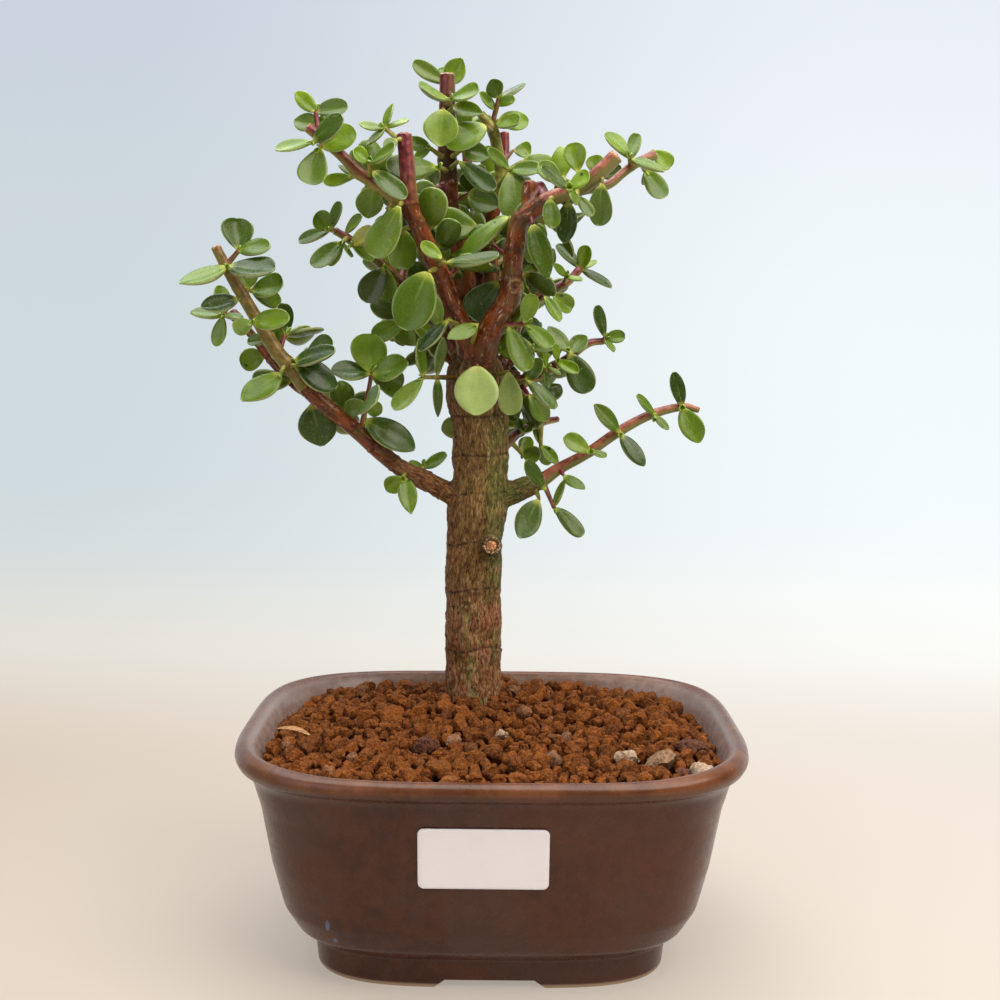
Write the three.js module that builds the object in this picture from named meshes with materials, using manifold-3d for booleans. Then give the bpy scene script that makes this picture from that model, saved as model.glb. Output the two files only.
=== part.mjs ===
// A dwarf jade (Portulacaria afra) grown as a small indoor bonsai in its glazed pot.
// Millimetres, +Z up, front at -Y. Everything is laid out round the pot's own centre line,
// and the finished group is moved so that the middle of its box stands on the origin.
//
// The plant: one woody body (trunk and limbs), and a solid for each leafy spray or shoot.
// Every leaf is a plump obovate blade in an opposite pair, or set by hand at the front of
// the crown. A leaf that would touch another shoot is swung clear of it, or left out.

import * as THREE from 'three';
import { mergeVertices } from 'three/addons/utils/BufferGeometryUtils.js';
import Module from 'manifold-3d';

const wasm = await Module();
wasm.setup();

// ---------------------------------------------------------------- driving dimensions

const potWidth = 160;
const potDepth = 129;
const potHeight = 72.5;
const potSides = 36;
const potCorner = 3.8; // exponent of the superellipse that every level of the pot follows
const clearance = 0.3; // gap between solids that touch

const footRecess = { height: 3.5, insetX: 34, insetY: 30 };
const footArch = { height: 2.4, frontWidth: 25, sideWidth: 18, slope: 2 };
const drainHole = { radius: 6.5, offset: 28, length: 30, sides: 12 };
const drainMesh = { size: 20, thickness: 1, holes: 2, bar: 1.6 };

const label = { width: 38, height: 19, corner: 1.8, thickness: 0.4, centreX: -2, centreZ: 45.5 };

const soilLevel = 66.5;
const soilMound = { height: 4.5, x: -8, y: 24, spread: 60 };
const soilGrain = { pitch: 9.5, relief: 1.8 };

const trunkRings = [89, 110, 126, 143, 156, 169]; // old leaf nodes, as raised bands
const trunkRing = { halfHeight: 1.6, rise: 0.5 };

const leafThickness = 0.15; // share of the leaf's length
const leafCorners = [0.25, 0.68, 0.95]; // shares of the length where a leaf's outline turns
const leafHeart = 0.55; // share of the length where it is thickest
// Half the width of a blade is share ** rise * (1 - share) ** fall, over its peak, down to a neck.
const bladeCurve = { rise: 0.75, fall: 0.5, peak: 0.4312, neck: 0.12 };
const stemRadius = { base: 1.35, tip: 1 };
const stemEnd = 1.2; // how far a stem runs on past its last leaves
const leafGap = { faces: 1.8, edges: 0.4, wood: 0.95 };
// Shares of a leaf's length: the part that needs no room, and that may touch a stem or its limb.
const leafRoot = { free: 0.12, stems: 0.15, limb: 0.35 };
const leafReach = 45; // leaves whose roots lie further apart than this never touch
// How far a leaf's face turns to the light, and where the light comes from.
const leafLight = { turn: 0.45, outward: 0.5, above: 0.6, front: 0.45 };
const steep = 0.94; // a stem whose direction rises more than this counts as upright
const nearlyLevel = 0.1;

const tubeSides = { trunk: 10, limb: 6, young: 5, stem: 3 };
const splineTension = 0.5;
const treeAxis = new THREE.Vector3(-8, 25, 0);

// How far in from the rim's outer edge the pot's surface lies: [height, inset X, inset Y],
// up the outside and over the rolled rim, and down the inside.
const potOutside = [
  [0, 24.4, 21.2], [9, 23.5, 20.5], [10.2, 21.5, 18.6], [13, 18, 15.7], [20, 14, 12.4],
  [34, 10.6, 9.4], [52, 7.5, 6.8], [61, 5, 4.7], [64, 3.2, 3], [65.2, 1.3, 1.3], [68, 0, 0],
  [70.8, 0.7, 0.7], [potHeight, 3.4, 3.4],
];
const potInside = [
  [71.8, 5.6, 5.6], [69.5, 7.4, 7.4], [62, 9.2, 9], [38, 13.8, 12.8], [18, 19.5, 17.9],
  [10, 31, 28],
];

// The wood: [where young growth starts, rows of [x, y, z, radius]], from root to tip. Places
// along a limb are counted in rows, so 2.5 is halfway from the third row to the fourth.
const limbs = {
  trunk: [11, [[-7, 30, 26, 7.5], [-7, 30, 52, 9.4], [-7, 30, 67, 9.9], [-7, 30, 77, 9.6],
    [-7, 29, 91, 9.8], [-7, 28, 105, 9.6], [-7, 27, 123, 9.6], [-6, 25, 137, 10.2], [-5, 24, 150, 9.4],
    [-5, 22, 164, 9.6], [-6, 21, 176, 10.6], [-7, 20, 185, 9.6]]],
  low_left: [5.5, [[-8, 25, 140, 5.5], [-14, 23, 142, 3.9], [-23, 20, 147, 3.5], [-32, 17, 152, 3.2],
    [-44, 12, 163, 2.8], [-59, 6, 176, 2.6], [-65, 4, 184, 2.5], [-70, 3, 190, 2.3], [-76, 2, 200, 2.1],
    [-80, 1, 207, 2], [-84, 0, 214, 1.8], [-88, -1, 222, 1.6]]],
  low_left_fork: [5, [[-58, 7, 176, 1.9], [-64, 10, 178, 1.7], [-71, 13, 184, 1.6], [-77, 16, 191, 1.6],
    [-83, 18, 198, 1.6], [-87, 19, 202, 2]]],
  low_right: [2.8, [[-4, 25, 140, 5], [4, 26, 142, 4.3], [12, 27, 145, 3.7], [16, 27, 147, 2.5],
    [22, 28, 151, 2], [31, 28, 156, 1.8], [41, 29, 163, 1.8], [52, 30, 169, 1.6], [63, 31, 172, 1.4],
    [69, 31, 171, 1]]],
  centre_left: [7.3, [[-7, 20, 179, 5.5], [-8, 16, 187, 4.6], [-10, 12, 195, 3.8], [-14, 8, 204, 3.3],
    [-18, 4, 215, 3.2], [-21, 2, 221, 3], [-24, 0, 228, 2.9], [-27, -2, 235, 2.8], [-28, -2, 246, 2.5],
    [-29, -2, 257, 2.3]]],
  upper_left: [1.6, [[-26, -1, 231, 2.5], [-29, -2, 236, 2.4], [-32, -3, 238, 2.2], [-38, -4, 242, 2],
    [-43, -5, 245, 1.9], [-48, -6, 250, 1.7], [-53, -7, 254, 1.6], [-58, -8, 258, 1.6]]],
  leader: [4.6, [[-7, 22, 179, 5], [-8, 25, 191, 4.2], [-10, 28, 207, 3.8], [-12, 30, 224, 3.6],
    [-16, 31, 238, 3.4], [-17, 31, 255, 3.2], [-17, 31, 271, 2.7], [-17, 31, 281, 2.6]]],
  back_leader: [4.4, [[-4, 26, 179, 4.6], [-3, 33, 197, 3.4], [-2, 36, 214, 3], [-3, 37, 228, 2.7],
    [-1, 36, 239, 2.4], [1, 36, 249, 2.1], [0, 35, 256, 2], [-2, 34, 264, 1.9], [-6, 33, 269, 1.4]]],
  centre_right: [8.2, [[-6, 18, 179, 5.5], [-5, 14, 187, 4.7], [-1, 9, 199, 4.1], [4, 6, 207, 3.9],
    [5, 3, 218, 3.3], [6, 2, 225, 3.2], [7, 1, 231, 3.2], [11, -1, 234, 2.8], [15, -3, 237, 2.5],
    [20, -5, 239, 2.3], [26, -7, 241, 2.3], [31, -9, 245, 2.4], [36, -10, 250, 2.4]]],
  right_tip: [0, [[26, -7, 240, 1.5], [34, -4, 242, 1.4], [39, -2, 246, 1.4], [43, 0, 249, 1.4],
    [49, 2, 252, 1.6]]],
  right_back: [1.5, [[-3, 26, 177, 3.4], [3, 34, 187, 2.4], [8, 40, 201, 1.8], [15, 44, 209, 1.7],
    [24, 48, 214, 1.6], [29, 50, 219, 1.3]]],
  right_mid: [1, [[-3, 26, 175, 3.6], [6, 34, 179, 2.4], [15, 40, 182, 1.9], [25, 45, 188, 1.5],
    [32, 48, 193, 1.4], [38, 50, 194, 1.1]]],
  right_low: [1, [[-2, 27, 155, 2.8], [4, 35, 159, 2], [8, 42, 162, 1.7], [16, 50, 165, 1.4],
    [22, 56, 166, 1.1]]],
  back_left: [2.5, [[-9, 26, 177, 4], [-15, 37, 190, 2.9], [-23, 47, 203, 2.4], [-30, 55, 216, 2],
    [-36, 61, 229, 1.8], [-38, 64, 242, 1.5]]],
  back_high: [2.5, [[-6, 27, 183, 4], [-7, 38, 201, 3], [-6, 48, 218, 2.5], [-7, 56, 234, 2.1],
    [-10, 61, 250, 1.8], [-12, 63, 264, 1.5]]],
  left_mid: [3.2, [[-9, 22, 181, 3.2], [-16, 24, 195, 2.3], [-24, 25, 206, 2], [-32, 24, 213, 1.8],
    [-40, 22, 220, 1.7], [-48, 20, 226, 1.4], [-53, 19, 229, 1.2]]],
  pruned_branch: [1, [[-2, 24, 124, 5], [-1, 15, 126, 4.3]]],
  crown_stub: [2, [[15, 0, 238, 2], [14, 4, 241, 2], [13, 5, 243, 1.9]]],
  dead_knot: [2, [[10, 1, 233, 2.4], [10, 3, 239, 2.6], [10, 3, 243, 2.4]]],
  leader_stub: [1, [[-17, 29, 243, 1.6], [-20, 26, 244, 1.6]]],
  side_stub: [0, [[1, 38, 249, 1.8], [2, 42, 258, 1.8], [2, 43, 264, 1.7]]],
};

// The shoots: [name, limb, place on the limb, stem tip, hand-set leaves, leaf pairs].
// A hand-set leaf is [place on the stem, leaf tip, tilt from facing the front, width/length];
// a pair is [place on the stem, roll, leaf length, spread from the stem], angles in degrees.
const shoots = [
  ['hero', 'trunk', 10.8, [-6, 0, 186], [[1, [-6, -4, 170], 0, 0.86]], []],
  ['tip_up', 'low_left', 10.3, [-81, -1, 221], [[1, [-82, 3, 231], 12, 0.95],
    [1, [-71, -6, 223], 42, 0.6]], []],
  ['tip_pair', 'low_left', 10.2, [-84, -4, 216], [[1, [-97, -6, 208], 48, 0.6],
    [1, [-68, -9, 213], 50, 0.6]], []],
  ['tip_back', 'low_left', 9.4, [-79, 9, 209], [[0.7, [-80, 9, 217], 12, 0.9],
    [1, [-68, 5, 211], 35, 0.75], [1, [-66, 11, 206], 15, 0.6], [0.7, [-70, 12, 215], 12, 0.8]], []],
  ['tip_left', 'low_left', 9, [-81, -1, 206], [[1, [-92, -4, 202], 38, 0.6],
    [1, [-72, 4, 206], 60, 0.6]], []],
  ['fork_end', 'low_left_fork', 4.9, [-89, 14, 201], [[1, [-100, 14, 201], 62, 0.62],
    [1, [-90, 16, 211], 55, 0.6], [1, [-91, 14, 191], 12, 0.52], [1, [-82, 11, 200], 58, 0.5]], []],
  ['cross', 'low_left', 8, [-76, -5, 199], [[1, [-64, -8, 200], 26, 0.62],
    [1, [-82, -3, 196], 18, 0.8]], []],
  ['cross_low', 'low_left', 7.4, [-72, 4, 194], [[1, [-80, 4, 193], 35, 0.55]], [[1, 10, 9, 60]]],
  ['inner_up', 'low_left', 6.4, [-66, 8, 189], [[1, [-69, 12, 196], 18, 0.8], [1, [-60, 1, 194], 8, 1]
    ], []],
  ['inner_back', 'low_left', 6, [-61, 6, 189], [[1, [-52, 6, 193], 14, 0.7]], []],
  ['inner_pair', 'low_left', 6.1, [-64, -2, 186], [[1, [-50, -6, 190], 50, 0.6],
    [1, [-50, 0, 179], 28, 0.58]], []],
  ['outer_pair', 'low_left', 6.4, [-68, -1, 183], [[1, [-79, -5, 173], 33, 0.6],
    [1, [-73, 3, 175], 60, 0.4]], []],
  ['fork_round', 'low_left_fork', 2.8, [-76, 17, 188], [[1, [-84, 17, 186], 5, 0.9],
    [1, [-76, 20, 182], 25, 0.8]], []],
  ['under_big', 'low_left', 4.9, [-60, 13, 173], [[1, [-57, 15, 159], 3, 0.9]], []],
  ['riser', 'low_left', 4, [-40, 7, 183], [[1, [-42, 10, 195], 12, 0.95],
    [1, [-53, 5, 183], 42, 0.62], [1, [-27, 4, 185], 28, 0.7], [0.94, [-30, 13, 179], 15, 0.8],
    [0.6, [-39, -3, 174], 0, 0.9], [0.5, [-49, 12, 171], 12, 0.8], [0.5, [-38, 14, 170], 15, 0.8],
    [0.24, [-26, 9, 159], 22, 0.52]], []],
  ['elbow_drop', 'low_left', 2.8, [-30, 12, 149], [[1, [-27, 6, 138], 15, 0.5],
    [1, [-36, 15, 144], 12, 0.75], [1, [-26, 17, 135], 12, 0.62]], []],
  ['elbow_up', 'low_left', 2.1, [-24, 24, 151], [[1, [-14, 23, 154], 40, 0.6],
    [1, [-29, 26, 153], 50, 0.5]], []],
  ['upper_left_twig', 'upper_left', 6.3, [-56, -5, 263], [[1, [-62, -6, 269], 18, 0.6],
    [1, [-46, -7, 265], 22, 0.6], [0.45, [-63, -3, 261], 18, 0.75], [0.4, [-49, 0, 262], 25, 0.7]], []],
  ['upper_left_front', 'upper_left', 6.2, [-56, -12, 253], [[1, [-67, -15, 251], 42, 0.48],
    [1, [-46, -16, 260], 28, 0.6]], []],
  ['upper_left_hang', 'upper_left', 5.9, [-54, -10, 252], [[1, [-57, -11, 240], 4, 0.72],
    [1, [-44, -1, 256], 8, 0.72]], []],
  ['upper_left_left', 'upper_left', 3.9, [-45, -2, 244], [[1, [-54, -3, 242], 22, 0.5],
    [1, [-50, 2, 247], 58, 0.5]], []],
  ['upper_left_node', 'upper_left', 3.3, [-39, -9, 247], [[1, [-44, -11, 251], 35, 0.8],
    [1, [-30, -12, 251], 48, 0.6]], []],
  ['upper_left_front2', 'upper_left', 2.9, [-38, -10, 245], [[1, [-28, -13, 236], 30, 0.5]], []],
  ['upper_left_back', 'upper_left', 3, [-39, 2, 242], [[1, [-41, 5, 232], 6, 0.85]], [[1, 80, 11, 60]]],
  ['upper_left_big', 'upper_left', 1.2, [-30, -7, 235], [[1, [-38, -9, 219], 8, 0.55]], []],
  ['left_mid_end', 'left_mid', 6, [-54, 16, 229], [[1, [-51, 18, 238], 36, 0.5],
    [1, [-59, 13, 234], 12, 0.9], [1, [-66, 15, 227], 42, 0.5]], []],
  ['left_mid_down', 'left_mid', 5.2, [-50, 14, 225], [[1, [-59, 12, 216], 26, 0.55],
    [1, [-55, 18, 218], 20, 0.5], [1, [-47, 14, 220], 42, 0.5]], []],
  ['left_mid_up', 'left_mid', 5, [-50, 20, 228], [[1, [-44, 19, 234], 32, 0.5],
    [1, [-56, 23, 226], 16, 0.9], [1, [-51, 23, 232], 36, 0.6]], []],
  ['left_mid_yellow', 'left_mid', 4.7, [-47, 12, 224], [[1, [-39, 10, 229], 26, 0.6],
    [1, [-40, 13, 219], 28, 0.45]], []],
  ['left_mid_dark', 'left_mid', 3.4, [-36, 12, 217], [[1, [-43, 11, 206], 6, 0.66],
    [1, [-49, 17, 208], 12, 0.48], [1, [-38, 15, 204], 8, 0.8]], []],
  ['centre_left_tip', 'centre_left', 8.7, [-35, -1, 259], [[1, [-43, -2, 259], 38, 0.45],
    [1, [-33, 0, 267], 42, 0.42], [1, [-28, -2, 264], 42, 0.42], [1, [-42, -3, 254], 32, 0.5]], []],
  ['centre_left_bud', 'centre_left', 8.9, [-31, -5, 255], [[1, [-35, -7, 252], 20, 0.75]], []],
  ['centre_left_back', 'centre_left', 6.2, [-30, 7, 229], [[1, [-30, 7, 216], 5, 0.72]], []],
  ['centre_left_small', 'centre_left', 4.7, [-17, -5, 219], [[1, [-24, -6, 223], 32, 0.6]], []],
  ['centre_left_big', 'centre_left', 4.2, [-21, -6, 215], [[1, [-29, -8, 197], 4, 0.68]], []],
  ['centre_left_ledge', 'centre_left', 4.4, [-16, -3, 218], [[1, [1, -6, 217], 46, 0.38]], []],
  ['centre_left_oval', 'centre_left', 2.8, [-18, 2, 198], [[1, [-21, 0, 210], 12, 0.45]], []],
  ['centre_left_edge', 'centre_left', 2.4, [-15, -1, 200], [[1, [-24, -3, 190], 46, 0.4]], []],
  ['centre_left_behind', 'centre_left', 3.3, [-29, 14, 200], [[1, [-40, 13, 194], 16, 0.55],
    [1, [-30, 18, 192], 12, 0.8], [0.9, [-22, 17, 193], 26, 0.6]], []],
  ['centre_left_curl', 'centre_left', 1.4, [-6, 1, 199], [[1, [-15, -5, 193], 38, 0.5]], []],
  ['top_pair', 'leader', 6, [-16, 24, 272], [[1, [-28, 18, 269], 32, 0.7], [1, [-6, 20, 274], 36, 0.6]
    ], []],
  ['top_back', 'leader', 6.3, [-17, 37, 279], [[1, [-29, 38, 285], 18, 0.42],
    [1, [-21, 42, 286], 8, 0.85], [1, [-12, 41, 287], 8, 0.8]], []],
  ['top_mid', 'leader', 5.8, [-15, 25, 270], [[1, [-5, 22, 266], 26, 0.6],
    [1, [-24, 29, 270], 26, 0.6]], []],
  ['top_pale', 'leader', 5.7, [-18, 18, 268], [[1, [-19, 16, 256], 4, 0.95]], []],
  ['leader_left', 'leader', 4.7, [-19, 14, 249], [[1, [-36, 3, 246], 20, 0.42],
    [1, [-22, 19, 245], 12, 0.7]], []],
  ['leader_twig', 'leader', 4.9, [-22, 22, 256], [[1, [-30, 19, 258], 16, 0.62],
    [1, [-27, 24, 253], 36, 0.6]], []],
  ['leader_r1', 'leader', 4.9, [-12, 24, 256], [[1, [-3, 26, 254], 16, 0.8],
    [1, [-11, 29, 262], 26, 0.6]], []],
  ['leader_r2', 'leader', 4.7, [-13, 22, 252], [[1, [-1, 21, 242], 12, 0.45]], []],
  ['leader_r3', 'leader', 4, [-10, 26, 242], [[1, [0, 28, 238], 4, 0.85]], []],
  ['leader_front', 'leader', 3.3, [-6, 15, 230], [[1, [-22, 11, 232], 8, 0.65]], []],
  ['leader_dark', 'leader', 2.7, [-15, 18, 221], [[1, [-6, 19, 223], 30, 0.4]], []],
  ['back_leader_top', 'back_leader', 7.1, [0, 33, 274], [[1, [-3, 30, 280], 6, 0.85],
    [1, [9, 37, 278], 58, 0.45], [0.75, [5, 30, 274], 32, 0.55], [0.6, [-7, 33, 275], 45, 0.6],
    [0.8, [12, 33, 269], 38, 0.5]], []],
  ['back_leader_big', 'back_leader', 6.9, [-4, 25, 264], [[1, [-17, 21, 256], 12, 0.68]], []],
  ['back_leader_right', 'back_leader', 6.8, [0, 32, 267], [[1, [10, 33, 266], 12, 0.72],
    [0.9, [11, 27, 259], 16, 0.58]], []],
  ['back_leader_low', 'back_leader', 5.5, [5, 40, 258], [[1, [11, 42, 258], 16, 0.9]], []],
  ['back_leader_low2', 'back_leader', 5, [8, 36, 254], [[1, [19, 37, 252], 22, 0.7]], []],
  ['back_leader_pair', 'back_leader', 4.6, [4, 20, 249], [[1, [-4, 16, 255], 26, 0.42],
    [1, [14, 16, 249], 32, 0.58], [1, [7, 15, 233], 8, 0.66]], []],
  ['centre_right_long', 'centre_right', 5.6, [4, 7, 233], [[1, [-12, 5, 222], 38, 0.36]], []],
  ['centre_right_round', 'centre_right', 3.1, [1, 13, 213], [[1, [-8, 13, 201], 4, 0.8]], []],
  ['centre_right_in', 'centre_right', 5.1, [8, 8, 226], [[1, [13, 10, 220], 8, 0.9]], []],
  ['centre_right_drop', 'centre_right', 6.9, [11, -5, 230], [[1, [16, -6, 213], 6, 0.42]], []],
  ['centre_right_h1', 'centre_right', 8.5, [16, -10, 237], [[1, [17, -12, 228], 16, 0.62]], []],
  ['centre_right_left', 'centre_right', 8.7, [20, 1, 243], [[1, [13, 5, 249], 22, 0.6]], []],
  ['centre_right_fan', 'centre_right', 9.5, [22, -14, 240], [[1, [12, -16, 244], 42, 0.5],
    [1, [28, -16, 244], 26, 0.8], [1, [24, -19, 235], 36, 0.45]], []],
  ['centre_right_up', 'centre_right', 9.7, [25, -2, 246], [[1, [23, -1, 255], 6, 0.78]], []],
  ['centre_right_front2', 'centre_right', 9.8, [24, -12, 238], [[1, [29, -15, 232], 22, 0.52]], []],
  ['centre_right_h2', 'centre_right', 9.2, [22, -4, 237], [[1, [21, -4, 224], 3, 0.52]], []],
  ['centre_right_back', 'centre_right', 10.6, [32, 6, 246], [[1, [30, 8, 252], 16, 0.9],
    [1, [40, 6, 249], 22, 0.75]], []],
  ['centre_right_h3', 'centre_right', 11.1, [32, -11, 242], [[1, [31, -12, 229], 4, 0.58]], []],
  ['centre_right_side', 'centre_right', 10.8, [34, -5, 243], [[1, [42, -7, 237], 22, 0.7]], []],
  ['right_tip_fan', 'right_tip', 2.7, [41, -3, 250], [[1, [34, -2, 259], 36, 0.5],
    [1, [44, 2, 257], 26, 0.5], [1, [51, -9, 246], 42, 0.38]], []],
  ['right_tip_end', 'right_tip', 3.6, [49, 6, 254], [[1, [55, 6, 249], 8, 0.8]], []],
  ['right_tip_drop', 'right_tip', 3.3, [46, 0, 247], [[1, [52, -2, 238], 8, 0.64],
    [1, [47, 4, 243], 22, 0.6]], []],
  ['right_back_tip', 'right_back', 4.8, [29, 50, 219], [[1, [21, 52, 228], 36, 0.42],
    [1, [32, 48, 227], 16, 0.62], [1, [40, 46, 213], 44, 0.35], [1, [35, 53, 222], 56, 0.4]], []],
  ['right_back_node', 'right_back', 3.9, [24, 44, 216], [[1, [19, 42, 220], 42, 0.5],
    [1, [29, 39, 214], 46, 0.5]], []],
  ['right_back_round', 'right_back', 2.5, [11, 36, 211], [[1, [12, 37, 220], 6, 0.68],
    [1, [8, 35, 215], 40, 0.42]], []],
  ['right_back_low', 'right_back', 3.4, [19, 42, 210], [[1, [26, 45, 205], 12, 0.75]], []],
  ['right_back_front', 'right_back', 3.1, [16, 38, 209], [[1, [22, 35, 201], 30, 0.5]], []],
  ['fork_star', 'centre_right', 2, [9, 3, 199], [[1, [11, 5, 210], 12, 0.58],
    [1, [18, 0, 192], 30, 0.5], [0.5, [10, 3, 184], 8, 0.45], [0.5, [5, 10, 205], 45, 0.4],
    [0.7, [8, 10, 206], 36, 0.5]], []],
  ['fork_c', 'right_mid', 1.4, [12, 26, 191], [[1, [19, 25, 191], 40, 0.5], [1, [1, 30, 192], 8, 0.75]
    ], []],
  ['fork_d', 'right_mid', 2, [17, 32, 185], [[1, [22, 31, 183], 56, 0.38],
    [1, [16, 33, 190], 40, 0.5], [0.8, [18, 32, 178], 36, 0.42]], []],
  ['fork_e', 'right_mid', 1.4, [10, 20, 181], [[1, [15, 19, 188], 12, 0.68]], []],
  ['fork_f', 'right_mid', 1.1, [10, 15, 181], [[1, [20, 13, 172], 40, 0.42]], []],
  ['fork_g', 'right_mid', 1.2, [11, 28, 176], [[1, [18, 28, 167], 10, 0.6]], []],
  ['disc', 'trunk', 10.5, [4, 8, 184], [[1, [5, 7, 170], 4, 0.58]], []],
  ['fork_left', 'trunk', 10.6, [-23, 4, 182], [[1, [-26, 4, 194], 46, 0.35],
    [1, [-32, 1, 171], 32, 0.42], [0.75, [-18, 7, 195], 40, 0.3], [0.75, [-19, 10, 169], 26, 0.28]], []],
  ['right_mid_tip', 'right_mid', 4.8, [38, 48, 195], [[1, [34, 49, 206], 36, 0.45],
    [1, [45, 48, 196], 8, 0.7], [1, [34, 46, 199], 42, 0.5], [1, [42, 43, 191], 42, 0.5],
    [1, [46, 45, 185], 16, 0.5]], []],
  ['right_mid_node', 'right_mid', 3.1, [25, 42, 190], [[1, [18, 43, 199], 26, 0.5],
    [1, [31, 46, 195], 12, 0.7], [1, [32, 40, 176], 6, 0.62]], []],
  ['right_mid_base', 'right_mid', 2.6, [21, 36, 187], [[1, [20, 35, 193], 20, 0.5],
    [1, [28, 32, 183], 24, 0.5]], []],
  ['right_low_a', 'right_low', 2.1, [9, 38, 163], [[1, [13, 37, 163], 46, 0.6],
    [1, [7, 40, 167], 26, 0.6]], []],
  ['right_low_c', 'right_low', 1.2, [9, 40, 155], [[1, [5, 40, 161], 8, 0.7],
    [1, [16, 38, 154], 8, 0.85], [1, [12, 44, 160], 16, 0.8], [1, [8, 38, 146], 12, 0.8]], []],
  ['right_low_d', 'right_low', 3, [16, 50, 157], [[1, [22, 47, 150], 26, 0.52],
    [1, [14, 52, 164], 26, 0.45], [1, [19, 54, 150], 16, 0.7]], []],
  ['low_right_a', 'low_right', 2.9, [17, 21, 144], [[1, [9, 19, 154], 32, 0.4]], []],
  ['low_right_b', 'low_right', 4, [23, 23, 149], [[1, [30, 20, 144], 32, 0.5]], []],
  ['low_right_c', 'low_right', 5.1, [32, 24, 157], [[1, [23, 21, 162], 24, 0.6],
    [1, [37, 26, 155], 42, 0.5], [1, [30, 27, 160], 46, 0.5]], []],
  ['low_right_d', 'low_right', 6.1, [42, 26, 163], [[1, [33, 24, 173], 32, 0.42],
    [1, [50, 24, 152], 26, 0.42]], []],
  ['low_right_e', 'low_right', 7.2, [54, 28, 169], [[1, [47, 26, 176], 42, 0.42],
    [1, [58, 28, 164], 32, 0.5]], []],
  ['low_right_f', 'low_right', 8, [63, 29, 172], [[1, [60, 29, 184], 8, 0.42],
    [1, [69, 27, 160], 6, 0.6]], []],
  ['low_right_g', 'low_right', 2.2, [15, 22, 141], [[1, [8, 20, 128], 3, 0.6]], []],
  ['low_right_h', 'low_right', 3, [20, 24, 138], [[1, [23, 25, 148], 46, 0.32],
    [1, [30, 21, 129], 20, 0.42]], []],
  ['rear_1', 'back_left', 1.6, [-24, 62, 202], [], [[0.5, 0, 12, 70], [1, 85, 13, 60]]],
  ['rear_2', 'back_left', 2.6, [-34, 66, 214], [], [[0.5, 10, 13, 70], [1, 85, 13, 60]]],
  ['rear_3', 'back_left', 3.6, [-39, 70, 228], [], [[0.5, 10, 12, 70], [1, 90, 12, 60]]],
  ['rear_4', 'back_left', 4.7, [-41, 70, 245], [
    ], [[0.35, 80, 11, 72], [0.7, 0, 11, 62], [1, 85, 9, 45]]],
  ['rear_5', 'back_left', 3, [-27, 68, 222], [], [[0.5, 30, 12, 70], [1, 110, 12, 60]]],
  ['rear_6', 'back_high', 0.8, [-2, 58, 202], [], [[0.5, 0, 13, 70], [1, 85, 13, 60]]],
  ['rear_7', 'back_high', 2, [-1, 66, 223], [], [[0.5, 20, 12, 70], [1, 100, 13, 60]]],
  ['rear_8', 'back_high', 2.9, [-14, 68, 239], [], [[0.5, 10, 12, 70], [1, 85, 12, 60]]],
  ['rear_9', 'back_high', 3.8, [-4, 72, 253], [], [[0.5, 10, 12, 70], [1, 95, 11, 60]]],
  ['rear_10', 'back_high', 4.8, [-12, 64, 268], [
    ], [[0.3, 80, 11, 72], [0.7, 0, 11, 62], [1, 85, 9, 45]]],
  ['rear_11', 'right_mid', 2, [17, 60, 186], [], [[0.5, 0, 12, 70], [1, 85, 12, 60]]],
  ['rear_12', 'right_back', 3, [15, 62, 214], [], [[0.5, 0, 11, 70], [1, 85, 11, 60]]],
  ['rear_13', 'trunk', 8.8, [-8, 46, 163], [], [[0.5, 80, 12, 70], [1, 0, 12, 60]]],
  ['rear_14', 'low_left', 4.4, [-50, 24, 172], [], [[0.5, 80, 11, 70], [1, 0, 11, 60]]],
  ['rear_15', 'leader', 2.3, [-16, 46, 216], [], [[0.5, 10, 12, 70], [1, 85, 12, 60]]],
  ['rear_16', 'leader', 4, [-21, 46, 243], [], [[0.5, 10, 12, 70], [1, 85, 12, 60]]],
  ['rear_17', 'back_leader', 2, [4, 50, 219], [], [[0.5, 10, 12, 70], [1, 85, 12, 60]]],
  ['rear_18', 'back_leader', 3.4, [4, 52, 238], [], [[0.5, 10, 12, 70], [1, 85, 12, 60]]],
  ['rear_19', 'centre_right', 9.2, [21, 12, 246], [], [[0.5, 10, 11, 70], [1, 85, 11, 60]]],
  ['rear_20', 'right_low', 2.1, [6, 58, 165], [], [[0.5, 10, 11, 70], [1, 85, 11, 60]]],
  ['rear_21', 'low_left', 7, [-70, 20, 194], [], [[0.5, 80, 11, 70], [1, 0, 11, 60]]],
  ['rear_22', 'upper_left', 3, [-40, 12, 248], [], [[0.5, 80, 11, 70], [1, 0, 11, 60]]],
  ['rear_23', 'left_mid', 3, [-36, 36, 218], [], [[0.5, 80, 11, 70], [1, 0, 11, 60]]],
];

const twigParents = { right_tip: 'centre_right', side_stub: 'back_leader' };

const leafSeed = 7;
const leafLengthSpread = [0.92, 0.14];
const leafWidthSpread = [0.7, 0.16];
const leafJitter = { roll: 16, spread: 12 }; // degrees, peak to peak
// What a crowded leaf tries in turn: roll and pitch in degrees, and scale.
const swings = [
  [0, 0, 1], [8, 0, 1], [-8, 0, 1], [0, 8, 1], [0, -8, 1], [14, 8, 0.97], [-14, 8, 0.97],
  [14, -8, 0.97], [-14, -8, 0.97], [0, 16, 0.94], [0, -16, 0.94], [24, 0, 0.92], [-24, 0, 0.92],
  [20, 16, 0.9], [-20, 16, 0.9], [20, -16, 0.9], [-20, -16, 0.9], [34, 0, 0.86], [-34, 0, 0.86],
  [0, 26, 0.84], [0, -26, 0.84], [0, 0, 0.74],
];

// ---------------------------------------------------------------- small tools

const up = new THREE.Vector3(0, 0, 1);
const front = new THREE.Vector3(0, -1, 0);

/** Park-Miller random numbers, the same on every run. */
function randomSource(seed) {
  let state = seed;
  return () => {
    state = (state * 48271) % 2147483647;
    return state / 2147483647;
  };
}

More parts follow.
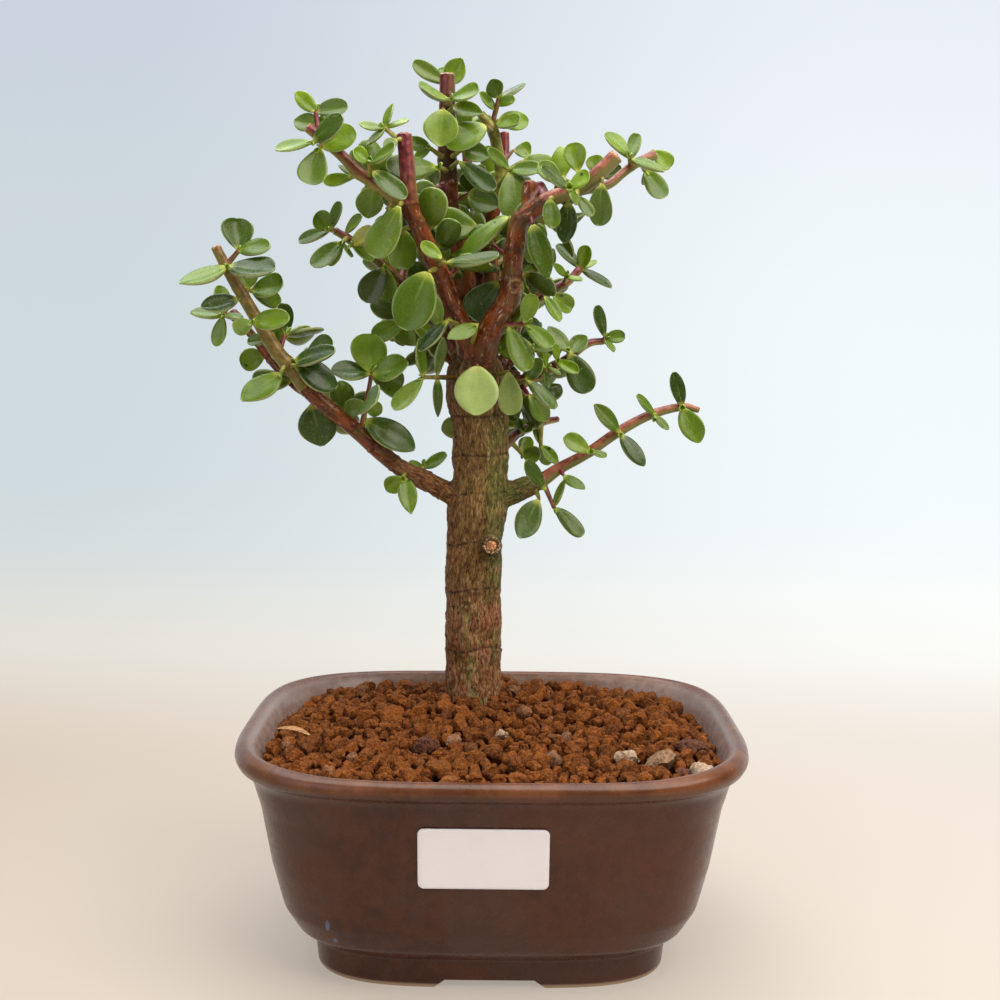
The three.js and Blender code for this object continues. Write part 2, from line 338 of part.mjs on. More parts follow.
/** start + direction * amount, as a new vector. */
function along(start, direction, amount) {
  return start.clone().addScaledVector(direction, amount);
}

/** A closed solid through rings of equally many points. Each end is flat, or runs to a tip. */
function loft(rings, firstTip, lastTip) {
  const sides = rings[0].length;
  const points = rings.flat();
  const triangles = [];
  const close = (start, tip, facing) => {
    const apex = tip ? points.push(tip) - 1 : start;
    for (let i = tip ? 0 : 1; i < sides - (tip ? 0 : 1); i++) {
      const edge = [start + i, start + ((i + 1) % sides)];
      triangles.push(apex, ...(facing > 0 ? edge : edge.reverse()));
    }
  };
  for (let low = 0; low + sides < rings.length * sides; low += sides) {
    for (let i = 0; i < sides; i++) {
      const j = (i + 1) % sides;
      const high = low + sides;
      triangles.push(low + i, low + j, high + j, low + i, high + j, high + i);
    }
  }
  close(0, firstTip, -1);
  close((rings.length - 1) * sides, lastTip, 1);
  return solid(points.flatMap((p) => [p.x, p.y, p.z]), triangles);
}

function solid(positions, triangles) {
  return new wasm.Manifold(new wasm.Mesh({
    numProp: 3,
    vertProperties: Float32Array.from(positions),
    triVerts: Uint32Array.from(triangles),
  }));
}

/** A three.js geometry as a solid, its vertices merged by place. */
function solidOf(geometry) {
  geometry.deleteAttribute('normal');
  geometry.deleteAttribute('uv');
  const merged = mergeVertices(geometry, 1e-3);
  return solid(merged.getAttribute('position').array, merged.index.array);
}

function join(solids) {
  return solids.reduce((whole, piece) => whole.add(piece));
}

/** The largest separate body of a solid, with the loose scraps of a cut dropped. */
function largestBody(whole) {
  return whole.decompose().reduce((best, body) => (body.volume() > best.volume() ? body : best));
}

function namedMesh(name, whole, material) {
  const { vertProperties, triVerts } = whole.getMesh();
  const geometry = new THREE.BufferGeometry();
  geometry.setAttribute('position', new THREE.BufferAttribute(vertProperties, 3));
  geometry.setIndex(new THREE.BufferAttribute(triVerts, 1));
  geometry.computeVertexNormals();
  const mesh = new THREE.Mesh(geometry, material);
  mesh.name = name;
  return mesh;
}

// ---------------------------------------------------------------- pot, label and soil

/** One level of the pot: a superellipse inset from the rim's outer edge. */
function potRing([z, insetX, insetY], offset = 0) {
  const halfX = potWidth / 2 - insetX + offset;
  const halfY = potDepth / 2 - insetY + offset;
  const power = (value) => Math.sign(value) * Math.abs(value) ** (2 / potCorner);
  return Array.from({ length: potSides }, (_, i) => {
    const angle = (2 * Math.PI * (i + 0.5)) / potSides;
    return new THREE.Vector3(halfX * power(Math.cos(angle)), halfY * power(Math.sin(angle)), z);
  });
}

/** The bar whose slanted ends cut the arch between two feet, lying along Y. */
function archCutter(width) {
  const { height, slope } = footArch;
  const outline = new THREE.Shape([
    new THREE.Vector2(-width / 2, -1),
    new THREE.Vector2(width / 2, -1),
    new THREE.Vector2(width / 2 - slope, height),
    new THREE.Vector2(slope - width / 2, height),
  ]);
  const bar = new THREE.ExtrudeGeometry(outline, { depth: potWidth, bevelEnabled: false });
  return bar.translate(0, 0, -potWidth / 2).rotateX(Math.PI / 2);
}

function makePot() {
  const shell = loft([...potOutside, ...potInside].map((level) => potRing(level)));
  const { height, insetX, insetY } = footRecess;
  const recess = loft([potRing([-1, insetX, insetY]), potRing([height, insetX + 1, insetY + 1])]);
  const { radius, offset, length, sides } = drainHole;
  const holes = [-1, 1].map((side) => {
    const hole = new THREE.CylinderGeometry(radius, radius, length, sides);
    return solidOf(hole.rotateX(Math.PI / 2).translate(side * offset, 0, 0));
  });
  const arches = [
    solidOf(archCutter(footArch.frontWidth)),
    solidOf(archCutter(footArch.sideWidth).rotateZ(Math.PI / 2)),
  ];
  return shell.subtract(join([recess, ...holes, ...arches]));
}

/** A square of plastic mesh over a drain hole, lying on the pot's floor: crossed flat bars. */
function makeDrainMesh(side) {
  const { size, thickness, holes, bar } = drainMesh;
  const pitch = (size - bar) / holes;
  const bars = Array.from({ length: holes + 1 }, (_, i) => {
    const offset = i * pitch - (size - bar) / 2;
    return [
      new THREE.BoxGeometry(size, bar, thickness).translate(0, offset, 0),
      new THREE.BoxGeometry(bar, size, thickness).translate(offset, 0, 0),
    ];
  }).flat();
  const level = floorLevel() + clearance + thickness / 2;
  return join(bars.map((geometry) => solidOf(geometry.translate(side * drainHole.offset, 0, level))));
}

function floorLevel() {
  return potInside.at(-1)[0];
}

/** The blank paper label: a rounded rectangle lifted off the front wall and following it. */
function makeLabel() {
  const { width, height, corner, thickness, centreX, centreZ } = label;
  const x = width / 2 - corner;
  const y = height / 2 - corner;
  const outline = new THREE.Shape()
    .absarc(x, y, corner, 0, Math.PI / 2, false)
    .absarc(-x, y, corner, Math.PI / 2, Math.PI, false)
    .absarc(-x, -y, corner, Math.PI, 1.5 * Math.PI, false)
    .absarc(x, -y, corner, 1.5 * Math.PI, 2 * Math.PI, false);
  const shape = { depth: potDepth, bevelEnabled: false, curveSegments: 3 };
  const block = new THREE.ExtrudeGeometry(outline, shape);
  block.rotateX(Math.PI / 2).translate(centreX, 0, centreZ);
  const skin = (offset) => loft(potOutside.map((level) => potRing(level, offset)));
  return skin(clearance + thickness).subtract(skin(clearance)).intersect(solidOf(block));
}

/** Height of the soil at a place, before its grains. */
function soilHeight(x, y) {
  const { height, x: moundX, y: moundY, spread } = soilMound;
  const distance = Math.hypot(x - moundX, y - moundY) / spread;
  return soilLevel + height * Math.exp(-2 * distance * distance);
}

/** The soil: it fills the pot, and its top is a relief of coarse grains. */
function makeSoil(woodClear) {
  const random = randomSource(11);
  const { pitch, relief } = soilGrain;
  const columns = Math.round(potWidth / pitch);
  const rows = Math.round(potDepth / pitch);
  const block = new THREE.BoxGeometry(potWidth, potDepth, 1, columns, rows, 1);
  const position = block.getAttribute('position');
  const grains = new Map();
  for (let i = 0; i < position.count; i++) {
    const x = position.getX(i);
    const y = position.getY(i);
    const key = `${Math.round(x)},${Math.round(y)}`;
    if (!grains.has(key)) grains.set(key, [random() - 0.5, random() - 0.5, random() - 0.5]);
    const [dx, dy, dz] = grains.get(key);
    const top = soilHeight(x, y) + 2 * relief * dz;
    const inner = Math.abs(x) < potWidth / 2 - 1 && Math.abs(y) < potDepth / 2 - 1;
    const shift = inner ? pitch / 2 : 0;
    position.setXYZ(i, x + shift * dx, y + shift * dy, position.getZ(i) > 0 ? top : 0);
  }
  const fill = loft(potInside.toReversed().map((level) => potRing(level, -clearance)).map(liftFloor));
  const meshes = [-1, 1].map((side) => {
    const size = drainMesh.size + 2 * clearance;
    const room = new THREE.BoxGeometry(size, size, 2 * (drainMesh.thickness + 2 * clearance));
    return solidOf(room.translate(side * drainHole.offset, 0, floorLevel()));
  });
  return fill.intersect(solidOf(block)).subtract(join([woodClear, ...meshes]));
}

function liftFloor(ring, index) {
  return index === 0 ? ring.map((p) => along(p, up, clearance)) : ring;
}

// ---------------------------------------------------------------- wood

/** The curve of a limb, with a radius: a uniform Catmull-Rom spline through its rows. */
function limbPath(rows) {
  const curve = new THREE.CatmullRomCurve3(
    rows.map(([x, y, z]) => new THREE.Vector3(x, y, z)), false, 'catmullrom', splineTension);
  const last = rows.length - 1;
  return {
    last,
    point: (place) => curve.getPoint(place / last),
    radius: (place) => {
      const row = Math.min(Math.floor(place), last - 1);
      return THREE.MathUtils.lerp(rows[row][3], rows[row + 1][3], place - row);
    },
  };
}

const paths = Object.fromEntries(Object.entries(limbs).map(([name, [, rows]]) => [name, limbPath(rows)]));

/** A tapering tube from one place on a path to another, each end cut square and grown. */
function tube(path, from, to, { sides, stepsPerRow, grow = 0, extra = [], swell = () => 0 }) {
  const steps = Math.max(1, Math.ceil((to - from) * stepsPerRow));
  const places = Array.from({ length: steps + 1 }, (_, i) => from + ((to - from) * i) / steps);
  const all = [...places, ...extra].sort((a, b) => a - b);
  let normal = null;
  const rings = all.map((place, i) => {
    const ahead = path.point(Math.min(place + 0.05, path.last));
    const tangent = ahead.sub(path.point(Math.max(place - 0.05, 0))).normalize();
    normal = square3(normal ?? (Math.abs(tangent.z) > 0.9 ? front.clone() : up.clone()), tangent);
    const side = tangent.clone().cross(normal);
    const end = i === 0 ? -grow : i === all.length - 1 ? grow : 0;
    const centre = along(path.point(place), tangent, end);
    const radius = path.radius(place) + grow + swell(centre.z);
    return Array.from({ length: sides }, (_, k) => {
      const angle = (2 * Math.PI * k) / sides;
      return along(along(centre, normal, radius * Math.cos(angle)), side, radius * Math.sin(angle));
    });
  });
  return loft(rings);
}

/** The part of a vector that is square to a unit axis, at unit length. */
function square3(vector, axis) {
  return along(vector, axis, -vector.dot(axis)).normalize();
}

/** The trunk's raised bands, as extra radius at a height. */
function ringSwell(z) {
  const nearest = Math.min(...trunkRings.map((ring) => Math.abs(ring - z)));
  return nearest < trunkRing.halfHeight / 2 ? trunkRing.rise : 0;
}

/** Three places on the trunk for each band: its lower edge, its crest and its upper edge. */
function ringPlaces() {
  const { point, last } = paths.trunk;
  const placeAt = (z) => {
    let low = 0;
    let high = last;
    for (let i = 0; i < 30; i++) {
      const half = (low + high) / 2;
      if (point(half).z < z) low = half;
      else high = half;
    }
    return low;
  };
  const { halfHeight } = trunkRing;
  return trunkRings.flatMap((z) => [z - halfHeight, z, z + halfHeight].map(placeAt));
}

function makeWood(grow) {
  return join(Object.entries(limbs).filter(([, [young]]) => young > 0).map(([name, [young]]) => {
    const plain = { sides: tubeSides.limb, stepsPerRow: 1, grow };
    if (name !== 'trunk') return tube(paths[name], 0, young, plain);
    const extra = ringPlaces();
    const shape = { sides: tubeSides.trunk, stepsPerRow: 1, grow, extra, swell: ringSwell };
    return tube(paths.trunk, 0, young, shape);
  }));
}

// ---------------------------------------------------------------- leaves

/** Half the width of a blade at a share of its length. */
function bladeHalfWidth(share, width) {
  const { rise, fall, peak, neck } = bladeCurve;
  const round = (Math.max(share, 0) ** rise * Math.max(1 - share, 0) ** fall) / peak;
  return 0.5 * width * Math.max(round, neck);
}

/** A leaf of an opposite pair on a stem: base, axes (tip, side, upper face) and size. */
function pairLeaf(base, axis, roll, spread, side, length, width) {
  const upright = Math.abs(axis.z) >= steep;
  const across = new THREE.Vector3().crossVectors(upright ? front : up, axis);
  if (upright) across.negate();
  across.normalize();
  const over = axis.clone().cross(across);
  const outward = across.multiplyScalar(Math.cos(roll)).addScaledVector(over, Math.sin(roll));
  outward.multiplyScalar(side);
  const tip = axis.clone().multiplyScalar(Math.cos(spread)).addScaledVector(outward, Math.sin(spread));
  const face = axis.clone().multiplyScalar(Math.sin(spread)).addScaledVector(outward, -Math.cos(spread));
  const open = base.clone().sub(treeAxis).setZ(0).normalize();
  const light = open.multiplyScalar(leafLight.outward).addScaledVector(up, leafLight.above)
    .addScaledVector(front, leafLight.front).normalize();
  const turned = face.addScaledVector(along(light, tip, -light.dot(tip)), leafLight.turn);
  const upper = square3(turned, tip);
  return { base, tip, upper, across: upper.clone().cross(tip), length, width };
}

/** A leaf set by hand from its base to its tip, turned from facing the front. */
function setLeaf(base, end, tilt, ratio) {
  const tip = end.clone().sub(base);
  const length = tip.length();
  tip.divideScalar(length);
  const facing = square3(front, tip);
  const aside = tip.clone().cross(facing);
  const level = Math.abs(aside.z) <= nearlyLevel;
  if (level ? aside.x < 0 : aside.z < 0) aside.negate();
  const angle = THREE.MathUtils.degToRad(tilt);
  const upper = facing.multiplyScalar(Math.cos(angle)).addScaledVector(aside, Math.sin(angle));
  return { base, tip, upper, across: upper.clone().cross(tip), length, width: length * ratio };
}

/** The same leaf rolled and pitched about its base, and scaled. */
function swung(leaf, [roll, pitch, scale]) {
  const [a, b] = [THREE.MathUtils.degToRad(roll), THREE.MathUtils.degToRad(pitch)];
  const across = leaf.across.clone().multiplyScalar(Math.cos(a)).addScaledVector(leaf.upper, Math.sin(a));
  const rolled = leaf.upper.clone().multiplyScalar(Math.cos(a)).addScaledVector(leaf.across, -Math.sin(a));
  const tip = leaf.tip.clone().multiplyScalar(Math.cos(b)).addScaledVector(rolled, Math.sin(b));
  const upper = rolled.multiplyScalar(Math.cos(b)).addScaledVector(leaf.tip, -Math.sin(b));
  return { base: leaf.base, tip, upper, across, length: leaf.length * scale, width: leaf.width * scale };
}

function bladePoint(leaf, share, sideways) {
  const offset = sideways * bladeHalfWidth(Math.min(share, 0.97), leaf.width);
  return along(along(leaf.base, leaf.tip, share * leaf.length), leaf.across, offset);
}

/** Points over a blade that stand for it when leaves are kept apart. */
const sampleOffsets = [-1, -0.5, 0, 0.5, 1];
const sampleRows = [[0.18, [0]], ...[0.4, 0.65, 0.88].map((share) => [share, sampleOffsets]), [1, [0]]];

function samplesOf(leaf) {
  return sampleRows.flatMap(([share, offsets]) =>
    offsets.map((sideways) => ({ share, point: bladePoint(leaf, share, sideways) })));
}

/** Whether a point lies in the slab of space that a blade keeps for itself. */
function inBlade(point, leaf) {
  const offset = point.clone().sub(leaf.base);
  const reach = offset.dot(leaf.tip);
  if (reach < leafRoot.free * leaf.length || reach > leaf.length + leafGap.edges) return false;
  const half = bladeHalfWidth(THREE.MathUtils.clamp(reach / leaf.length, 0, 1), leaf.width);
  return Math.abs(offset.dot(leaf.across)) < half + leafGap.edges
    && Math.abs(offset.dot(leaf.upper)) < leafGap.faces;
}

/** Points with a radius along a path or a shoot's stem. */
function woodSamples(path) {
  const steps = Math.max(8, Math.ceil(path.last * 5));
  return Array.from({ length: steps + 1 }, (_, i) => {
    const place = (path.last * i) / steps;
    return { point: path.point(place), radius: path.radius(place) };
  });
}

/** A straight tapering stem: place 0 is its root, 1 its tip, and it runs on a little past that. */
function stemPath(root, tip) {
  return {
    last: 1 + stemEnd / root.distanceTo(tip),
    point: (place) => root.clone().lerp(tip, place),
    radius: (place) => THREE.MathUtils.lerp(stemRadius.base, stemRadius.tip, place),
  };
}

function touches(samples, wood, fromShare) {
  return samples.some(({ share, point }) => share > fromShare
    && wood.some((place) => point.distanceTo(place.point) - place.radius < leafGap.wood));
}

/** Every shoot's stem, and the leaves that find room on it. */
function growShoots() {
  const random = randomSource(leafSeed);
  const grown = shoots.map(([name, limb, place, tip, set, pairs]) => ({
    name, limb, place, set, pairs, leaves: [],
    stem: stemPath(paths[limb].point(place), new THREE.Vector3(...tip)),
  }));
  const stemWood = grown.map(({ stem }) => woodSamples(stem));
  const limbWood = Object.fromEntries(Object.entries(paths).map(([name, path]) => [name, woodSamples(path)]));
  const placed = [];
  grown.forEach((shoot, k) => {
    const others = [...stemWood.filter((_, j) => j !== k), ...Object.keys(limbs)
      .filter((name) => name !== shoot.limb).map((name) => limbWood[name])].flat();
    const tryLeaf = (first) => {
      for (const swing of swings) {
        const leaf = swung(first, swing);
        const samples = samplesOf(leaf);
        const near = placed.filter((other) => other.leaf.base.distanceTo(leaf.base) < leafReach);
        if (touches(samples, others, leafRoot.stems)) continue;
        if (touches(samples, limbWood[shoot.limb], leafRoot.limb)) continue;
        if (near.some((other) => samples.some(({ point }) => inBlade(point, other.leaf)))) continue;
        if (near.some((other) => other.samples.slice(1).some(({ point }) => inBlade(point, leaf)))) continue;
        placed.push({ leaf, samples });
        shoot.leaves.push(leaf);
        return;
      }
    };
    for (const [at, end, tilt, ratio] of shoot.set) {
      tryLeaf(setLeaf(shoot.stem.point(at), new THREE.Vector3(...end), tilt, ratio));
    }
    for (const [at, roll, size, spread] of shoot.pairs) {
      const base = shoot.stem.point(at);
      const axis = shoot.stem.point(1).sub(shoot.stem.point(0)).normalize();
      for (const side of [1, -1]) {
        const length = size * (leafLengthSpread[0] + leafLengthSpread[1] * random());
        const width = length * (leafWidthSpread[0] + leafWidthSpread[1] * random());
        const rolled = THREE.MathUtils.degToRad(roll + (random() - 0.5) * leafJitter.roll);
        const opened = THREE.MathUtils.degToRad(spread + (random() - 0.5) * leafJitter.spread);
        tryLeaf(pairLeaf(base, axis, rolled, opened, side, length, width));
      }
    }
  });
  return grown;
}

/** A leaf's solid: a plump blade of seven sides, pointed at its root and thickest past its middle. */
function leafSolid(leaf) {
  const left = leafCorners.map((share) => bladePoint(leaf, share, -1));
  const right = leafCorners.map((share) => bladePoint(leaf, share, 1));
  const outline = [leaf.base, ...left, ...right.reverse()];
  const heart = bladePoint(leaf, leafHeart, 0);
  const half = (leafThickness * leaf.length) / 2;
  return loft([outline], along(heart, leaf.upper, -half), along(heart, leaf.upper, half));
}

/** The solids of the leafy parts by name: a spray for each limb's young end, a shoot elsewhere. */
function makeLeafySolids(woodClear) {
  const groups = new Map();
  const add = (name, ...solids) => groups.set(name, [...(groups.get(name) ?? []), ...solids]);
  for (const [name, [young]] of Object.entries(limbs)) {
    const { last } = paths[name];
    const shape = { sides: tubeSides.young, stepsPerRow: 1 };
    if (young < last) add(sprayOf(name), tube(paths[name], young, last, shape));
  }
  for (const { name, limb, place, stem, leaves } of growShoots()) {
    const node = place >= limbs[limb][0] ? sprayOf(limb) : `shoot_${name}`;
    const shape = { sides: tubeSides.stem, stepsPerRow: 0.5 };
    add(node, tube(stem, 0, stem.last, shape), ...leaves.map(leafSolid));
  }
  return [...groups].map(([name, solids]) => [name, largestBody(join(solids).subtract(woodClear))]);
}

/** The node of a limb's young end. A twig that is young throughout joins the limb it grows on. */
function sprayOf(limb) {
  return `spray_${twigParents[limb] ?? limb}`;
}

// ---------------------------------------------------------------- the whole plant

const materials = {
  glaze: new THREE.MeshStandardMaterial({ color: 0x4a3128, roughness: 0.38, metalness: 0 }),
  soil: new THREE.MeshStandardMaterial({ color: 0x8a4a24, roughness: 0.95, metalness: 0 }),
  bark: new THREE.MeshStandardMaterial({ color: 0x6e4a30, roughness: 0.8, metalness: 0 }),
  leaf: new THREE.MeshStandardMaterial({ color: 0x4f7f35, roughness: 0.45, metalness: 0 }),
  paper: new THREE.MeshStandardMaterial({ color: 0xe9e2e2, roughness: 0.6, metalness: 0 }),
  plastic: new THREE.MeshStandardMaterial({ color: 0x20262a, roughness: 0.7, metalness: 0 }),
};

const woodClear = makeWood(clearance);
const plant = new THREE.Group();
plant.add(
  namedMesh('pot', makePot(), materials.glaze),
  namedMesh('label', makeLabel(), materials.paper),
  namedMesh('drain_mesh_left', makeDrainMesh(-1), materials.plastic),
  namedMesh('drain_mesh_right', makeDrainMesh(1), materials.plastic),
  namedMesh('soil', makeSoil(woodClear), materials.soil),
  namedMesh('trunk', makeWood(0), materials.bark),
);
for (const [name, whole] of makeLeafySolids(woodClear)) plant.add(namedMesh(name, whole, materials.leaf));

const box = new THREE.Box3().setFromObject(plant);
const centre = box.getCenter(new THREE.Vector3());
plant.position.set(-centre.x, -centre.y, -box.min.z);

const bonsai = new THREE.Group();
bonsai.add(plant);

export default bonsai;
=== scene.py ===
"""Dwarf jade bonsai in its pot: the finished surfaces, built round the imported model.

Lengths in this script are millimetres round the pot's own centre line, as in the model's
source; place() turns them into metres in the model's frame.
"""
import math
import random

import bmesh
import bpy
import numpy as np
from mathutils import Matrix, Vector, noise


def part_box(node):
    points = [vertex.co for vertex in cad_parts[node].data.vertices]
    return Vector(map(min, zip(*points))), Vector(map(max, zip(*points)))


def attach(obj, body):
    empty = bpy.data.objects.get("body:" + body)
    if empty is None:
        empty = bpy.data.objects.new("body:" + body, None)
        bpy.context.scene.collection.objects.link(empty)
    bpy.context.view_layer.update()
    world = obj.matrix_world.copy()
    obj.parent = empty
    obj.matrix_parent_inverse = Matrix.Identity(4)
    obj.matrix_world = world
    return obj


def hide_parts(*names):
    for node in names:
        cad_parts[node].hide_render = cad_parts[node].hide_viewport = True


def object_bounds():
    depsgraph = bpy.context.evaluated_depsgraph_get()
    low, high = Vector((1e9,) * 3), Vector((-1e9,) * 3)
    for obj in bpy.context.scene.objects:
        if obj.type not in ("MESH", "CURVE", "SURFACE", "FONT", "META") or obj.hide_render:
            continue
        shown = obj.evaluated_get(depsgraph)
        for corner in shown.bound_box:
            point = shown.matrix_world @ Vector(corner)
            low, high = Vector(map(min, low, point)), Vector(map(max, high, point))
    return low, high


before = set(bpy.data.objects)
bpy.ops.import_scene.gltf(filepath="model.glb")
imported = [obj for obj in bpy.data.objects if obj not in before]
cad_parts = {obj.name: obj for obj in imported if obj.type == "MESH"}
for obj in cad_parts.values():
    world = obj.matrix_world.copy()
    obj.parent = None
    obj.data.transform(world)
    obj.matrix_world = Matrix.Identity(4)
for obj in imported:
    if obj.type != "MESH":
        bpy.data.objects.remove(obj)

CAD_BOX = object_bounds()
MM = 0.001
NODES = set(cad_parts)

# ---------------------------------------------------------------- driving dimensions

POT_LOW, POT_HIGH = (np.array(corner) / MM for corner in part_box("pot"))
POT_CENTRE = (POT_LOW + POT_HIGH) / 2 * (1, 1, 0)
POT_HALF = (POT_HIGH - POT_LOW)[:2] / 2
POT_CORNER = 3.8  # exponent of the superellipse that every level follows
# How far in from the rim's outer edge the pot's surface lies: height, inset X, inset Y. The rows
# run up the outside, over the rim and down the inside.
POT_PROFILE = np.array([
    (0, 24.4, 21.2), (9, 23.5, 20.5), (10.2, 21.5, 18.6), (13, 18, 15.7), (20, 14, 12.4),
    (34, 10.6, 9.4), (52, 7.5, 6.8), (61, 5, 4.7), (64, 3.2, 3), (65.2, 1.3, 1.3), (68, 0, 0),
    (70.8, 0.6, 0.6), (72.5, 2.7, 2.7), (71.9, 4.2, 4.2), (70.2, 5.8, 5.7), (67, 7.4, 7.2),
    (62, 9.2, 9), (38, 13.8, 12.8), (18, 19.5, 17.9), (10, 31, 28),
])
POT_WIDEST_ROW, POT_RIM_ROW = 10, 12
POT_STEP = 0.55  # between the rings of the pot's surface
POT_SIDES = 200
INNER_FLOOR = 9  # a little below the top of the pot's floor
INNER_TOP, INNER_FADE = 72.2, 1.6  # where the colour of the inner wall ends, and over how much
PAINT_MARKS = [(-48.3, 20.9, 0.8, 2.2), (-46.2, 15.4, 0.9, 1.1)]  # blue smears: x, z, half sizes
RIM_SAG = {"depth": 2.8, "from": 62, "start": 0.45, "full": 0.9}  # how the rim dips along the front
FOOT_RECESS = {"height": 3.5, "inset_x": 34, "inset_y": 30}
FOOT_ARCH = {"height": 2.4, "front": 33, "side": 19, "slope": 3}
DRAIN_HOLE = {"radius": 6.5, "offset": 28}
LABEL = {"width": 38, "height": 19, "corner": 1.8, "thickness": 0.35, "round": 0.08,
         "x": -2, "z": 45.5}
CLEARANCE = 0.3  # between the pot and what lies against it
BOX_MARGIN = 0.02  # how far the leaves stay within the model's box

SOIL_LEVEL = 66.5
SOIL_MOUND = {"height": 4.5, "x": -8, "y": 24, "spread": 60}
# How much lower the soil lies along the pot's ends, from which share of its half length.
SOIL_SETTLED = {"depth": 4, "from": 0.72, "over": 0.16}
# The filling under the grains: its lowest and highest ring, and how far it lies under their level.
SOIL_BED = {"low": 10.4, "high": 64, "edge": 65, "below": 2.6, "rough": 1.3}
SOIL_TOP = 67  # the height at which the grains keep clear of the pot's wall
TRUNK_ROOM = 8.6  # how near the trunk's middle a grain's middle may lie
# The clay grains: smallest and largest size, and how many places are tried.
GRAIN_SIZES = [(5.6, 7.2, 130), (4.4, 5.6, 1300), (3.3, 4.4, 5000), (2.2, 3.3, 9000)]
GRAIN_OVERLAP = 0.82  # how near two grains may lie, of half the sum of their sizes
FINE_GRAINS = {"count": 290, "from": 4.4}  # the large grains that get a finer surface
LOWER_GRAINS = {"count": 900, "sizes": (3, 5.5), "below": 2.8}
# Grains that stand out: x, y, size, then how pale and how grey.
SPECIAL_GRAINS = [
    (41.4, -31.9, 6.6, 0.8, 0.55), (51.5, -35.6, 9.6, 0.56, 0.6), (63.0, -42.5, 7.4, 0.85, 0.3),
    (62.0, -18.0, 9.6, 0.05, 1.0), (57.0, -44.0, 5.2, 0.1, 0.95), (-20.7, -23.5, 7.6, 0.05, 1.0),
    (10.5, 8.5, 6.2, 0.45, 0.2), (3.1, -12.8, 4.6, 0.9, 0.3), (-12.3, -17.8, 4.6, 0.5, 0.6),
]

# The sliver of bark on the soil at the left.
SLIVER = {
    "ends": np.array([(-69.5, -7.4, 69.0), (-56.5, -12.7, 68.3)]), "steps": 26, "sides": 10,
    "arch": 1.5, "half_width": 0.75, "half_thick": 0.28, "curl": 0.35,
}

TRUNK_RINGS = np.array([89, 110, 126, 143, 156, 169])  # heights of the old nodes
LIMB_NODE_STEP = 9.5  # between the rings that old leaf pairs leave on a limb
WOOD_VOXEL = 0.62
LIMB_OFFSET = 37.0  # between two limbs' bark in the noise that grains it
POINTS_AT_ONCE = 2000  # vertices of the wood that are matched with the limbs in one go
BARK_FROM, BARK_FULL = 3.6, 7.2  # radius from which wood looks old, and at which it is fully old
# Where old bark runs out on to the low limbs: how far from the trunk's middle, and how old it is.
OLD_BASE = {"reach": 33, "fade": 10, "below": 178, "age": 0.75}
# Old wounds seen from the front: x, z, radius, and 1 for a pale ring or 0 for a dark knot.
SCARS = [(-3.7, 155.9, 1.3, 0.0), (5.9, 211.1, 1.9, 1.0), (-9.5, 105.5, 1.5, 0.1)]
CUT_FACE = {"radius": 3.3, "sides": 90, "rings": 26, "lift": 1.1}
TREE_AXIS = np.array([-8.0, 25.0, 0.0])
STEM_END = 1.2  # how far a stem runs on past its tip
STEM_SIZE = (1.35, 1.0)  # radius that a stem keeps leaves away with, at its root and its tip
STEM_ROUND = (1.05, 0.66)  # radius of the round stem itself
# This direction also paints light on the woody stems: they are made lighter brown on the side that
# faces it.
STEM_LIGHT = np.array([-0.2, -0.25, 0.9])  # where the light that reddens the stems comes from
NODE_SWELL = 0.12  # how much thicker a stem is where a leaf pair sits
BUD_LENGTH = (2.2, 3.8)
BUD_SPREAD = (16, 34)
LEAF_SIDES = 20
LEAF_THICK = 0.082  # half the thickness at the heart, of the length
NECK = 0.15  # half the width of the neck at the leaf's base, of half the blade's width
POINTED = 0.4  # share of the leaves that end in a point
LEAF_GAP = {"faces": 1.8, "edges": 0.4, "wood": 0.95}
LEAF_REACH = 45  # leaves whose bases lie further apart never touch
LEAF_SEED = 7

# The camera, its place and angles in degrees, and the sheet that the pot stands on.
CAMERA = {"lens": 50.4, "sensor": 36, "place": (1.755, -445.8, 194.7), "pitch": 6.6, "roll": 0.56}
STAGE = {"half_width": 2600, "flat_to": 600, "bend": 500, "top": 3000}

